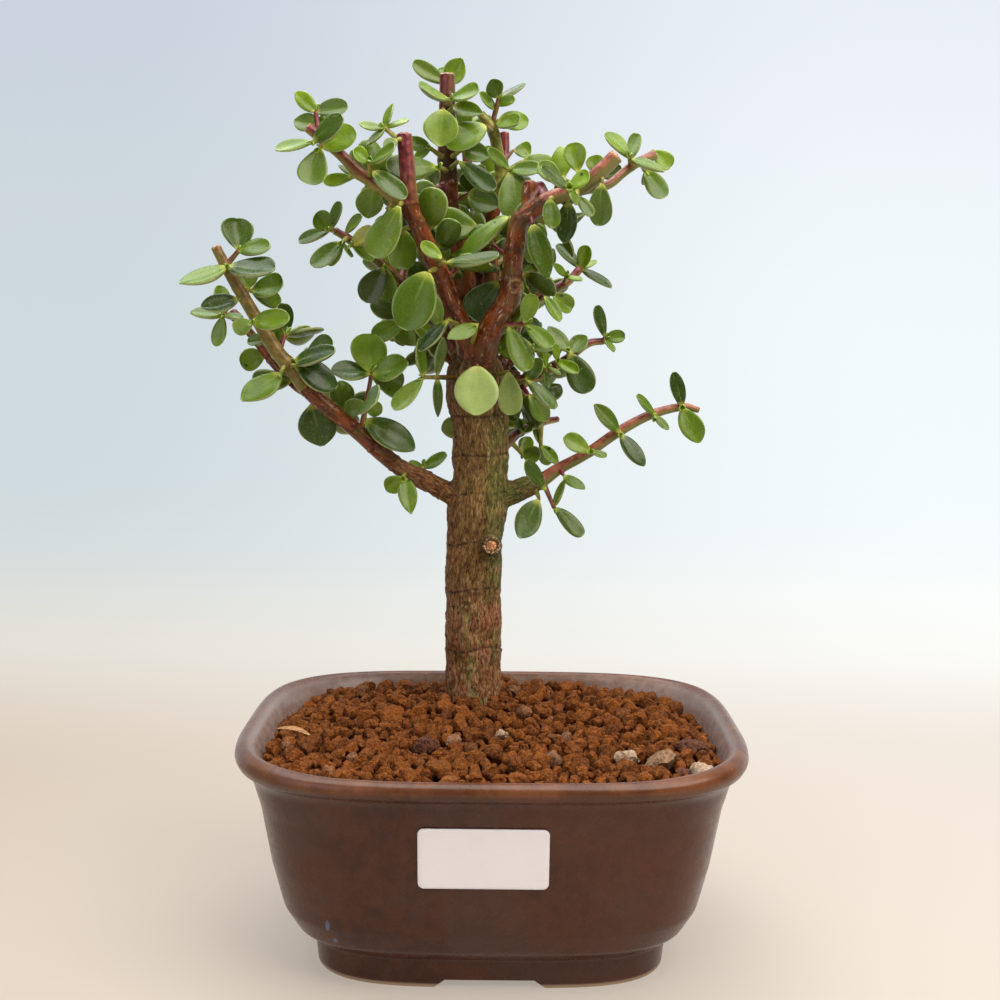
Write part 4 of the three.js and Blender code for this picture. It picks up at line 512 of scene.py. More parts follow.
# What a crowded leaf tries in turn: roll and pitch in degrees, and scale.
SWINGS = [
    (0, 0, 1), (8, 0, 1), (-8, 0, 1), (0, 8, 1), (0, -8, 1), (14, 8, 0.97), (-14, 8, 0.97),
    (14, -8, 0.97), (-14, -8, 0.97), (0, 16, 0.94), (0, -16, 0.94), (24, 0, 0.92), (-24, 0, 0.92),
    (20, 16, 0.9), (-20, 16, 0.9), (20, -16, 0.9), (-20, -16, 0.9), (34, 0, 0.86), (-34, 0, 0.86),
    (0, 26, 0.84), (0, -26, 0.84), (0, 0, 0.74),
]
# The points over a blade that are kept clear: shares of its length, and across it.
SAMPLE_ROWS = [(0.18, (0,)), *((share, (-1, -0.5, 0, 0.5, 1)) for share in (0.4, 0.65, 0.88)),
               (1, (0,))]
SAMPLE_SHARES = np.array([share for share, offsets in SAMPLE_ROWS for _ in offsets])
SAMPLE_SIDES = np.array([side for _, offsets in SAMPLE_ROWS for side in offsets])


def blade_half_width(share, width):
    """Half the width of a blade at shares of its length."""
    share = np.clip(share, 0, 1)
    return 0.5 * width * np.maximum(share**0.75 * (1 - share) ** 0.5 / 0.4312, 0.12)


class Leaf:
    """A leaf: its base, its axes (tip, across, upper face) and its size."""

    def __init__(self, base, tip, upper, length, width, across=None):
        self.base, self.tip, self.upper, self.length, self.width = base, tip, upper, length, width
        self.across = np.cross(upper, tip) if across is None else across

    def swung(self, roll, pitch, scale):
        """The same leaf rolled and pitched about its base, and scaled."""
        a, b = math.radians(roll), math.radians(pitch)
        across = self.across * math.cos(a) + self.upper * math.sin(a)
        rolled = self.upper * math.cos(a) - self.across * math.sin(a)
        tip = self.tip * math.cos(b) + rolled * math.sin(b)
        upper = rolled * math.cos(b) - self.tip * math.sin(b)
        return Leaf(self.base, tip, upper, self.length * scale, self.width * scale, across)

    def samples(self):
        """Points over the blade that stand for it when leaves are kept apart."""
        half = SAMPLE_SIDES * blade_half_width(np.minimum(SAMPLE_SHARES, 0.97), self.width)
        reach = SAMPLE_SHARES * self.length
        return self.base + reach[:, None] * self.tip + half[:, None] * self.across

    def holds(self, points):
        """Whether any point lies in the slab of space that the blade keeps for itself."""
        offset = points - self.base
        reach = offset @ self.tip
        half = blade_half_width(reach / self.length, self.width)
        return bool(np.any(
            (reach >= 0.12 * self.length) & (reach <= self.length + LEAF_GAP["edges"])
            & (np.abs(offset @ self.across) < half + LEAF_GAP["edges"])
            & (np.abs(offset @ self.upper) < LEAF_GAP["faces"])))


def pair_leaf(base, axis, roll, spread, side, length, width):
    """A leaf of an opposite pair on a stem, its face turned partly to the light."""
    across = unit(np.cross(UP, axis) if abs(axis[2]) < 0.94 else np.cross(axis, FRONT))
    over = np.cross(axis, across)
    outward = side * (across * math.cos(roll) + over * math.sin(roll))
    tip = axis * math.cos(spread) + outward * math.sin(spread)
    face = axis * math.sin(spread) - outward * math.cos(spread)
    light = unit(0.5 * unit((base - TREE_AXIS) * (1, 1, 0)) + 0.6 * UP + 0.45 * FRONT)
    turned = face + 0.45 * (light - (light @ tip) * tip)
    return Leaf(base, tip, unit(turned - (turned @ tip) * tip), length, width)


def set_leaf(base, end, tilt, ratio):
    """A leaf given from its base to its tip, turned from facing the front."""
    tip = unit(end - base)
    facing = unit(FRONT - (FRONT @ tip) * tip)
    aside = np.cross(tip, facing)
    if aside[2] < -0.1 or (abs(aside[2]) <= 0.1 and aside[0] < 0):
        aside = -aside
    angle = math.radians(tilt)
    length = math.dist(base, end)
    return Leaf(base, tip, facing * math.cos(angle) + aside * math.sin(angle), length, length * ratio)


def wood_samples(path):
    steps = max(8, math.ceil(path.last * 5))
    places = [path.last * i / steps for i in range(steps + 1)]
    return np.array([[*path.point(at), path.radius(at)] for at in places])


def touches(samples, wood, from_share):
    kept = samples[SAMPLE_SHARES > from_share]
    gaps = np.linalg.norm(kept[:, None] - wood[None, :, :3], axis=2) - wood[:, 3]
    return bool((gaps < LEAF_GAP["wood"]).any())


def grow(rows, earlier, placed, draw):
    """The shoots of the rows: each one's stem, and the leaves that find room on it."""
    grown = [
        {"name": name, "limb": limb, "place": at, "set": leaves, "pairs": pairs, "leaves": [],
         "stem": Stem(PATHS[limb].point(at), np.array(tip, float))}
        for name, limb, at, tip, leaves, pairs in rows
    ]
    stems = [wood_samples(shoot["stem"]) for shoot in earlier + grown]
    limbs = {name: wood_samples(path) for name, path in PATHS.items()}
    for k, shoot in enumerate(grown, len(earlier)):
        others = np.vstack([wood for j, wood in enumerate(stems) if j != k]
                           + [wood for name, wood in limbs.items() if name != shoot["limb"]])

        def try_leaf(first, at):
            near = [other for other in placed if math.dist(other[0].base, first.base) < LEAF_REACH]
            for swing in SWINGS:
                leaf = first.swung(*swing)
                samples = leaf.samples()
                if touches(samples, others, 0.15) or touches(samples, limbs[shoot["limb"]], 0.35):
                    continue
                if any(other.holds(samples) for other, _ in near):
                    continue
                if any(leaf.holds(points[1:]) for _, points in near):
                    continue
                placed.append((leaf, samples))
                shoot["leaves"].append((leaf, at))
                return

        stem = shoot["stem"]
        for at, end, tilt, ratio in shoot["set"]:
            try_leaf(set_leaf(stem.point(at), np.array(end, float), tilt, ratio), at)
        for at, roll, size, spread in shoot["pairs"]:
            for side in (1, -1):
                length = size * (LEAF_LENGTH_SPREAD[0] + LEAF_LENGTH_SPREAD[1] * next(draw))
                width = length * (LEAF_WIDTH_SPREAD[0] + LEAF_WIDTH_SPREAD[1] * next(draw))
                rolled = math.radians(roll + (next(draw) - 0.5) * LEAF_JITTER["roll"])
                opened = math.radians(spread + (next(draw) - 0.5) * LEAF_JITTER["spread"])
                axis = unit(stem.tip - stem.root)
                try_leaf(pair_leaf(stem.point(at), axis, rolled, opened, side, length, width), at)
    return grown


def inner_shoots():
    """Rows of small shoots that fill the crown between the shoots of the model."""
    draw = random.Random(11)
    rows = []
    for limb, start, end, count, longest in INNER_SHOOTS:
        path = PATHS[limb]
        for k in range(count):
            at = start + (end - start) * (k + draw.random()) / count
            root = path.point(at)
            ahead = unit(path.point(min(at + 0.1, path.last)) - path.point(max(at - 0.1, 0)))
            aside = unit(np.cross(ahead, np.array([draw.gauss(0, 1) for _ in range(3)])))
            outward = unit((root - TREE_AXIS) * (1, 1, 0) + 0.01)
            heading = unit(0.35 * ahead + aside + 0.25 * outward + 0.25 * UP)
            heading = unit(heading * (1, 0, 1) + (0, 0.35 + abs(heading[1]), 0))
            tip = root + heading * (path.radius(at) + draw.uniform(0.5, 1) * longest)
            roll, size = draw.uniform(0, 180), draw.uniform(10, 14.5)
            pairs = [[0.62, roll, size, 72], [1, roll + 90, size * 0.9, 58]]
            rows.append([f"inner_{limb}_{k}", limb, at, tip, [], pairs])
    return rows

# ---------------------------------------------------------------- meshes


def mesh_object(name, points, faces, materials, material_index=None, attributes=None):
    """A mesh object from millimetre points, with named vertex attributes of one or three values."""
    mesh = bpy.data.meshes.new(name)
    mesh.from_pydata(place(points).tolist(), [], [tuple(face) for face in faces])
    for material in materials:
        mesh.materials.append(material)
    if material_index is not None:
        mesh.polygons.foreach_set("material_index", np.asarray(material_index, np.int32))
    mesh.shade_smooth()
    for key, values in (attributes or {}).items():
        store(mesh, key, values)
    piece = bpy.data.objects.new(name, mesh)
    bpy.context.scene.collection.objects.link(piece)
    return piece


def store(mesh, key, values):
    values = np.asarray(values, np.float32)
    vector = values.ndim == 2
    layer = mesh.attributes.new(key, "FLOAT_VECTOR" if vector else "FLOAT", "POINT")
    layer.data.foreach_set("vector" if vector else "value", values.ravel())


def grid_faces(rows, sides, start=0):
    """Quads between closed rings of points that lie one after the other."""
    i, k = np.meshgrid(np.arange(sides), np.arange(rows - 1))
    j = (i + 1) % sides
    low, high = start + k * sides, start + (k + 1) * sides
    return np.stack([low + i, low + j, high + j, high + i], axis=-1).reshape(-1, 4)


class Builder:
    """Gathers the points, faces and attributes of a piece that is made of many small forms."""

    def __init__(self, keys):
        self.points, self.faces, self.index, self.count = [], [], [], 0
        self.values = {key: [] for key in keys}

    def add(self, points, faces, material=0, **values):
        points = np.asarray(points, float)
        self.points.append(points)
        for face in faces:
            self.faces.append(tuple(int(v) + self.count for v in face))
        self.index.extend([material] * len(faces))
        for key, store_here in self.values.items():
            store_here.append(np.broadcast_to(np.asarray(values[key], float), (len(points), 3)))
        self.count += len(points)

    def piece(self, name, materials):
        attributes = {key: np.vstack(parts) for key, parts in self.values.items()}
        return mesh_object(name, np.vstack(self.points), self.faces, materials,
                           material_index=self.index, attributes=attributes)


def dress(piece, slot, *nodes):
    """Hangs a finished piece under the root body and hides the solids it stands for; slot is not used.
    """
    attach(piece, "root")
    if nodes:
        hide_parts(*nodes)


def modified(piece, kind, **settings):
    """Applies one modifier to a piece."""
    modifier = piece.modifiers.new(kind.lower(), kind)
    for key, value in settings.items():
        setattr(modifier, key, value)
    graph = bpy.context.evaluated_depsgraph_get()
    result = bpy.data.meshes.new_from_object(piece.evaluated_get(graph))
    piece.modifiers.clear()
    piece.data = result
    return piece


# ---------------------------------------------------------------- shader graphs


class Graph:
    """A material with a Principled shader, and short ways to add nodes to it."""

    def __init__(self, name, **constants):
        self.material = bpy.data.materials.new(name)
        self.material.use_nodes = True
        self.tree = self.material.node_tree
        self.shader = self.tree.nodes["Principled BSDF"]
        for key, value in constants.items():
            self.shader.inputs[key.replace("_", " ")].default_value = value

    def node(self, kind, inputs=None, **settings):
        made = self.tree.nodes.new("ShaderNode" + kind)
        for key, value in settings.items():
            setattr(made, key, value)
        for key, value in (inputs or {}).items():
            self.feed(made.inputs[key], value)
        return made

    def feed(self, socket, value):
        if isinstance(value, bpy.types.NodeSocket):
            self.tree.links.new(value, socket)
        else:
            socket.default_value = value

    def millimetres(self):
        position = self.node("TexCoord").outputs["Object"]
        return self.stretched(position, (1 / MM,) * 3)

    def from_pot(self, at):
        """A place's three parts, measured from the pot's middle."""
        x, y, z = self.parts(at)
        return self.maths("SUBTRACT", x, POT_CENTRE[0]), self.maths("SUBTRACT", y, POT_CENTRE[1]), z

    def stretched(self, vector, factors):
        return self.node("VectorMath", {0: vector, 1: factors}, operation="MULTIPLY").outputs[0]

    def attribute(self, name, output="Vector"):
        return self.node("Attribute", attribute_name=name).outputs[output]

    def parts(self, vector):
        return self.node("SeparateXYZ", {0: vector}).outputs

    def maths(self, operation, a, b=0.0):
        return self.node("Math", {0: a, 1: b}, operation=operation).outputs[0]

    def times(self, a, b):
        return self.maths("MULTIPLY", a, b)

    def plus(self, a, b):
        return self.maths("ADD", a, b)

    def noise(self, vector, scale, detail=3.0, roughness=0.55, distortion=0.0):
        values = {"Vector": vector, "Scale": scale, "Detail": detail, "Roughness": roughness,
                  "Distortion": distortion}
        return self.node("TexNoise", values).outputs["Fac"]

    def cells(self, vector, scale):
        """How far the nearest of many scattered points is."""
        return self.node("TexVoronoi", {"Vector": vector, "Scale": scale}).outputs["Distance"]

    def band(self, value, low, high, out_low=0.0, out_high=1.0):
        """A value's smooth rise between two limits."""
        values = {"Value": value, "From Min": low, "From Max": high,
                  "To Min": out_low, "To Max": out_high}
        return self.node("MapRange", values, interpolation_type="SMOOTHSTEP").outputs["Result"]

    def mix(self, share, a, b):
        made = self.node("Mix", data_type="RGBA")
        for key, value in (("Factor", share), ("A", a), ("B", b)):
            socket = next(s for s in made.inputs if s.name == key and s.enabled)
            self.feed(socket, colour(value) if isinstance(value, str) else value)
        return next(s for s in made.outputs if s.enabled)

    def bump(self, height, strength, distance):
        values = {"Height": height, "Strength": strength, "Distance": distance * MM}
        return self.node("Bump", values).outputs["Normal"]

    def finish(self, **sockets):
        for key, value in sockets.items():
            self.feed(self.shader.inputs[key.replace("_", " ")], value)
        return self.material


def colour(display):
    """A hexadecimal display colour as a linear RGBA."""
    channels = [int(display[i:i + 2], 16) / 255 for i in (0, 2, 4)]
    return (*(c / 12.92 if c <= 0.04045 else ((c + 0.055) / 1.055) ** 2.4 for c in channels), 1.0)

# ---------------------------------------------------------------- pot and label


def superellipse(half_x, half_y, sides):
    angle = 2 * np.pi * (np.arange(sides) + 0.5) / sides
    bend = 2 / POT_CORNER
    return np.stack([half_x * signed_power(np.cos(angle), bend),
                     half_y * signed_power(np.sin(angle), bend)], axis=1)


def smooth_profile():
    """The pot's profile in short equal steps, its corners rounded to about 1 mm."""
    along = np.r_[0, np.cumsum(np.hypot(*np.diff(POT_PROFILE[:, :2], axis=0).T))]
    at = np.arange(0, along[-1], POT_STEP)
    fine = np.stack([np.interp(at, along, column) for column in POT_PROFILE.T], axis=1)
    for _ in range(3):
        fine[1:-1] = (fine[:-2] + 2 * fine[1:-1] + fine[2:]) / 4
    return fine


def ring_at(height, inset_x, inset_y, sides):
    flat = superellipse(POT_HALF[0] - inset_x, POT_HALF[1] - inset_y, sides)
    return np.column_stack([flat, np.full(sides, height)])


def lofted(rings):
    """Points and faces of a closed form through rings, each end closed by a fan."""
    rows, sides = len(rings), len(rings[0])
    points = np.vstack([*rings, rings[0].mean(0), rings[-1].mean(0)])
    faces = [tuple(face) for face in grid_faces(rows, sides)]
    top, first, last = (rows - 1) * sides, rows * sides, rows * sides + 1
    for i in range(sides):
        j = (i + 1) % sides
        faces += [(first, j, i), (last, top + i, top + j)]
    return points, faces


def circle(radius, sides):
    """A flat circle of points round the pot's centre line."""
    angle = 2 * np.pi * np.arange(sides) / sides
    return np.column_stack([np.cos(angle), np.sin(angle), np.zeros(sides)]) * radius


def cutter(rings):
    """A closed form that is cut out of the pot."""
    return mesh_object("cutter", *lofted(rings), [])


def foot_arch(width, turned):
    """The bar that cuts the arch between two feet, wider at the floor."""
    half, slope, top = width / 2, FOOT_ARCH["slope"], FOOT_ARCH["height"]
    outline = [(-half - slope, -2), (half + slope, -2), (half, 0.2), (half - slope, top),
               (slope - half, top), (-half, 0.2)]
    ends = [np.array([(x, end, z) for x, z in outline]) for end in (-90, 90)]
    if turned:
        ends = [ring[:, [1, 0, 2]] * (1, -1, 1) for ring in ends]
    return cutter(ends[::-1])


def make_pot(glaze):
    """The pot: its walls lofted up the outside and down the inside, then its foot cut out."""
    points, faces = lofted([ring_at(*row, POT_SIDES) for row in smooth_profile()])
    pot = mesh_object("pot_glazed", points, faces, [glaze])
    inset_x, inset_y = FOOT_RECESS["inset_x"], FOOT_RECESS["inset_y"]
    cutters = [cutter([ring_at(-1, inset_x, inset_y, 96),
                       ring_at(FOOT_RECESS["height"], inset_x + 1, inset_y + 1, 96)])]
    for side in (-1, 1):
        hole = circle(DRAIN_HOLE["radius"], 48) + (side * DRAIN_HOLE["offset"], 0, 0)
        cutters.append(cutter([hole + (0, 0, -5), hole + (0, 0, 15)]))
    cutters += [foot_arch(FOOT_ARCH["front"], False), foot_arch(FOOT_ARCH["side"], True)]
    for tool in cutters:
        modified(pot, "BOOLEAN", object=tool, operation="DIFFERENCE", solver="MANIFOLD")
        bpy.data.objects.remove(tool)
    mark_inside(pot.data)
    sag_rim(pot.data)
    pot.data.shade_smooth()
    pot.data.set_sharp_from_angle(angle=math.radians(50))
    dress(pot, "glaze", "pot")


def vertices_of(mesh):
    """A mesh's vertices in millimetres round the pot's centre line."""
    points = np.zeros(len(mesh.vertices) * 3)
    mesh.vertices.foreach_get("co", points)
    return points.reshape(-1, 3) / MM - POT_CENTRE


def insets(rows, height):
    """The X and Y insets at a height, from profile rows that rise."""
    return np.array([np.interp(height, rows[:, 0], rows[:, i]) for i in (1, 2)])


def in_superellipse(x, y, half):
    return np.abs(x / half[0]) ** POT_CORNER + np.abs(y / half[1]) ** POT_CORNER < 1


def sag_rim(mesh):
    """Lowers the rim along the front, most at its middle, as on a pot formed by hand."""
    points = vertices_of(mesh)
    x, y, z = points.T
    start, full, low = RIM_SAG["start"], RIM_SAG["full"], RIM_SAG["from"]
    forward = np.clip((-y / POT_HALF[1] - start) / (full - start), 0, 1)
    across = np.clip(1 - (x / POT_HALF[0]) ** 4, 0, 1)
    share = np.clip((z - low) / (POT_HIGH[2] - low), 0, 1)
    points[:, 2] -= RIM_SAG["depth"] * forward * across * share
    mesh.vertices.foreach_set("co", place(points).ravel())


def mark_inside(mesh):
    """Stores which vertices lie on the pot's inner wall, fading out over the rim."""
    x, y, z = vertices_of(mesh).T
    outer, inner = POT_PROFILE[:POT_RIM_ROW + 1], POT_PROFILE[:POT_RIM_ROW:-1]
    middle = (insets(outer, z) + insets(inner, z)) / 2
    within = in_superellipse(x, y, POT_HALF[:, None] - middle)
    fade = np.clip((INNER_TOP - z) / INNER_FADE, 0, 1)
    store(mesh, "inside", within * (z > INNER_FLOOR) * fade)


def front_of_pot(x, z):
    """Where the pot's front surface lies, at a place across and up."""
    half_x, half_y = POT_HALF[:, None] - insets(POT_PROFILE[:POT_WIDEST_ROW + 1], z)
    return -half_y * (1 - np.abs(x / half_x) ** POT_CORNER) ** (1 / POT_CORNER)


def make_label(paper):
    """The blank sticker: a rounded rectangle that follows the pot's front."""
    half_x, half_z, corner = LABEL["width"] / 2, LABEL["height"] / 2, LABEL["corner"]
    outline = []
    for quarter, (sx, sz) in enumerate([(1, 1), (-1, 1), (-1, -1), (1, -1)]):
        for angle in np.radians(np.arange(0, 91, 15) + 90 * quarter):
            outline.append((sx * (half_x - corner) + corner * math.cos(angle),
                            sz * (half_z - corner) + corner * math.sin(angle)))
    outline = np.array(outline)

    def level(share, lift):
        x, z = (outline * share + (LABEL["x"], LABEL["z"])).T
        return np.column_stack([x, front_of_pot(x, z) - lift, z])

    shares = np.linspace(0.04, 1, 14)
    front_lift = CLEARANCE + LABEL["thickness"]
    rings = [level(share, CLEARANCE) for share in shares]
    rings.append(level(1.0, front_lift - LABEL["round"]))
    rings += [level(share, front_lift) for share in shares[::-1] * 0.996]
    points, faces = lofted(rings[::-1])
    dress(mesh_object("label_blank", points, faces, [paper]), "paper", "label")


# ---------------------------------------------------------------- soil


def soil_height(x, y):
    """How high the soil lies at a place: heaped round the trunk, settled at the pot's ends."""
    away = np.hypot(x - SOIL_MOUND["x"], y - SOIL_MOUND["y"]) / SOIL_MOUND["spread"]
    wall = np.clip((np.abs(x) / POT_HALF[0] - SOIL_SETTLED["from"]) / SOIL_SETTLED["over"], 0, 1)
    settled = SOIL_SETTLED["depth"] * wall * np.clip(0.75 + y / 50, 0.25, 1)
    return SOIL_LEVEL + SOIL_MOUND["height"] * np.exp(-2 * away**2) - settled


def inner_half(height):
    """Half the room that the pot's wall leaves at a height, along X and Y."""
    return POT_HALF - insets(POT_PROFILE[:POT_RIM_ROW:-1], height) - CLEARANCE


def make_soil_bed(soil):
    """The filling under the grains: it follows the pot's inside and has a rough top, painted dark as
    the shade between the grains.
    """
    sides = 120
    rings = []
    for height in np.linspace(SOIL_BED["low"], SOIL_BED["high"], 22):
        flat = superellipse(*inner_half(height), sides)
        rings.append(np.column_stack([flat, np.full(sides, height)]))
    flat = superellipse(*inner_half(SOIL_BED["edge"]), sides)
    for share in np.linspace(1, 0.02, 46):
        x, y = (flat * share).T
        rough = [noise.noise((a * 0.35, b * 0.35, 3)) for a, b in zip(x, y)]
        z = soil_height(x, y) - SOIL_BED["below"] + np.array(rough) * SOIL_BED["rough"]
        rings.append(np.column_stack([x, y, z]))
    points, faces = lofted(rings)
    # Painted shade: the bed takes the darkest grain tone, as the shade seen between the grains.
    grain = np.tile((0.1, 0.0, 0.0), (len(points), 1))
    bed = mesh_object("soil_bed", points, faces, [soil], attributes={"grain": grain})
    dress(bed, "soil", "soil")


def icosphere(subdivisions):
    """Unit points and triangles of an icosphere."""
    shape = bmesh.new()
    bmesh.ops.create_icosphere(shape, subdivisions=subdivisions, radius=1)
    points = np.array([vertex.co for vertex in shape.verts])
    faces = [tuple(vertex.index for vertex in face.verts) for face in shape.faces]
    shape.free()
    return points, faces


def crumb(ball, size, draw, squat=1.0):
    """A worn lump: a ball with flat sides, uneven and turned at random."""
    points = ball.copy()
    for _ in range(9):
        normal = unit(draw.standard_normal(3))
        excess = points @ normal - draw.uniform(0.52, 0.88)
        points -= np.where(excess > 0, 0.94 * excess, 0)[:, None] * normal
    offset = draw.uniform(0, 100, 3)
    uneven = [0.8 * noise.noise(point * 1.5 + offset) + 0.8 * noise.noise(point * 3.5 + offset)
              + 0.75 * noise.noise(point * 8 + offset) for point in points]
    points *= 1 + 0.19 * np.array(uneven)[:, None]
    points *= draw.uniform(0.72, 1.16, 3)
    turn = Matrix.Rotation(draw.uniform(0, 2 * math.pi), 3, unit(draw.standard_normal(3)))
    return points @ np.array(turn) * size / 2 * (1, 1, squat)


def make_grains(soil):
    """The clay grains: large ones first, then smaller ones in the room left, over a lower layer."""
    draw = np.random.RandomState(21)
    balls = [icosphere(3), icosphere(2), icosphere(1)]
    layers = [Builder(["grain"]) for _ in balls]
    trunk = PATHS["trunk"].point(2)[:2]
    placed = []

    def inside(x, y, size):
        return in_superellipse(x, y, inner_half(SOIL_TOP) - size * 0.42)

    def room(x, y, size):
        if not inside(x, y, size) or math.dist((x, y), trunk) < TRUNK_ROOM + size * 0.4:
            return False
        rows = np.array(placed)
        gaps = np.hypot(rows[:, 0] - x, rows[:, 1] - y) - (rows[:, 2] + size) / 2 * GRAIN_OVERLAP
        return not (gaps < 0).any()

    def drop(layer, x, y, z, size, tint, squat=1.0):
        points, faces = balls[layer]
        layers[layer].add(crumb(points, size, draw, squat) + (x, y, z), faces, grain=tint)

    for x, y, size, pale, grey in SPECIAL_GRAINS:
        placed.append((x, y, size))
        z = soil_height(x, y) + size * (0.2 if pale > 0.4 else 0.14)
        drop(0, x, y, z, size * 1.15, (0.5, pale, grey), 0.86)
    fine_left = FINE_GRAINS["count"]
    for smallest, largest, tries in GRAIN_SIZES:
        for _ in range(tries):
            size = draw.uniform(smallest, largest)
            x, y = draw.uniform(-1, 1, 2) * POT_HALF
            if not room(x, y, size):
                continue
            placed.append((x, y, size))
            z = soil_height(x, y) + draw.uniform(-1.1, 1.1) - (4.6 - size) * 0.2
            fine = size > FINE_GRAINS["from"] and fine_left > 0
            fine_left -= fine
            tint = (draw.uniform(), 0.5 * draw.uniform() ** 8, 0.0)
            drop(0 if fine else 1, x, y, z, size * 1.12, tint)
    for _ in range(LOWER_GRAINS["count"]):
        size = draw.uniform(*LOWER_GRAINS["sizes"])
        x, y = draw.uniform(-1, 1, 2) * POT_HALF
        if inside(x, y, size):
            z = soil_height(x, y) - LOWER_GRAINS["below"] + draw.uniform(-0.6, 0.6)
            # Painted shade: the lower layer takes only the darker grain tones, as the shade between the
            # grains above.
            drop(2, x, y, z, size, (draw.uniform(0, 0.6), 0, 0))
    for name, layer in zip(("large", "small", "under"), layers):
        piece = layer.piece(f"soil_grains_{name}", [soil])
        piece.data.set_sharp_from_angle(angle=math.radians(40))
        dress(piece, "soil")


def make_bark_sliver(sliver):
    """A thin curled flake of bark lying on the soil at the left."""
    start, end = SLIVER["ends"]
    ring = circle(1, SLIVER["sides"])
    rings = []
    for share in np.linspace(0, 1, SLIVER["steps"] + 1):
        arch = SLIVER["arch"] * math.sin(math.pi * share) - 0.4 * share
        width = 0.2 + SLIVER["half_width"] * math.sin(math.pi * min(share * 1.1, 1)) ** 0.8
        across = unit(np.array([0.35, 0.9, 0.25 + 0.5 * share]))
        up = unit(np.cross(unit(end - start), across))
        lift = SLIVER["half_thick"] * ring[:, 1] + SLIVER["curl"] * ring[:, 0] ** 2
        centre = lerp(start, end, share) + (0, 0, arch)
        rings.append(centre + np.outer(ring[:, 0] * width, across) + np.outer(lift, up))
    points, faces = lofted(rings)
    dress(mesh_object("bark_sliver", points, faces, [sliver]), "soil")

# ---------------------------------------------------------------- wood


def line_frames(points):
    """At each point of a line: its direction and two cross directions that don't twist."""
    ahead = np.gradient(points, axis=0)
    ahead /= np.linalg.norm(ahead, axis=1)[:, None]
    side = unit(np.cross(ahead[0], (0.13, 0.97, 0.2)))
    first = []
    for direction in ahead:
        side = unit(side - (side @ direction) * direction)
        first.append(side)
    first = np.array(first)
    return ahead, first, np.cross(ahead, first)


class Line:
    """A stretch of a limb in steps of about half a millimetre."""

    def __init__(self, path, start, end, step=0.5):
        rough = np.array([path.point(at) for at in np.linspace(start, end, 200)])
        length = np.linalg.norm(np.diff(rough, axis=0), axis=1).sum()
        at = np.linspace(start, end, max(6, int(length / step)))
        self.points = np.array([path.point(a) for a in at])
        self.radii = np.array([path.radius(a) for a in at])
        self.at = at
        self.arc = np.r_[0, np.cumsum(np.linalg.norm(np.diff(self.points, axis=0), axis=1))]
        self.ahead, self.first, self.second = line_frames(self.points)

    def rings(self, sides, radii=None):
        radii = self.radii if radii is None else radii
        angle = 2 * np.pi * np.arange(sides) / sides
        return [centre + radius * (np.cos(angle)[:, None] * a + np.sin(angle)[:, None] * b)
                for centre, radius, a, b in zip(self.points, radii, self.first, self.second)]


def capped(rings, roundness=0.45, levels=4):
    """Rings with a domed cap added at the far end."""
    last, before = rings[-1], rings[-2]
    centre, ahead = last.mean(0), unit(last.mean(0) - before.mean(0))
    radius = np.linalg.norm(last[0] - centre)
    extra = []
    for k in range(1, levels + 1):
        angle = math.pi / 2 * k / (levels + 0.35)
        rise = ahead * radius * roundness * math.sin(angle)
        extra.append(centre + (last - centre) * math.cos(angle) + rise)
    return rings + extra


def flake_at(a, b, c):
    """Of the flaky bark at a place: how far it is from a crack, and how thick its flake is."""
    wander = 0.5 * noise.noise((a * 0.6, b * 0.6, c * 0.3))
    gaps, cells = noise.voronoi((a * 0.36 + wander, b * 0.36, c * 0.15 + wander))
    return min((gaps[1] - gaps[0]) / 0.3, 1), noise.cell(cells[0] * 9.7)


def ring_profile(name, arc, heights):
    """How far the old node rings raise and groove the wood, and how near a groove is."""
    if name == "trunk":
        above = heights[:, None] - TRUNK_RINGS
        shoulder = np.where((above < 0) & (above > -6), np.exp(above / 1.6), 0).max(1)
        groove = np.exp(-((np.abs(above).min(1) / 0.3) ** 2))
        return 0.3 * shoulder - 0.45 * groove, groove
    off = np.abs((arc + 3) % LIMB_NODE_STEP - LIMB_NODE_STEP / 2)
    near = np.exp(-((off / 0.6) ** 2))
    groove = np.exp(-(((off - 0.9) / 0.3) ** 2))
    return 0.2 * near - 0.06 * groove, 0.5 * groove


def wood_skin(bark):
    """The wood as one smooth skin round its tubes, and the line of each limb in it."""
    tubes = Builder([])
    lines = {}
    for name, (young, _) in LIMBS.items():
        if young <= 0:
            continue
        line = Line(PATHS[name], 0, young)
        lines[name] = line
        swell = 1 + (0.015 if name == "trunk" else 0.025) * np.sin(line.arc * 0.31 + len(name))
        if name in STUB_TAPER:
            swell = np.interp(line.arc / line.arc[-1], *STUB_TAPER[name])
        tubes.add(*lofted(capped(line.rings(28, line.radii * swell))))
    wood = tubes.piece("wood", [bark])
    wood.data.remesh_voxel_size = WOOD_VOXEL * MM
    wood = modified(wood, "REMESH", mode="VOXEL", voxel_size=WOOD_VOXEL * MM)
    return modified(wood, "SMOOTH", factor=0.6, iterations=5), lines


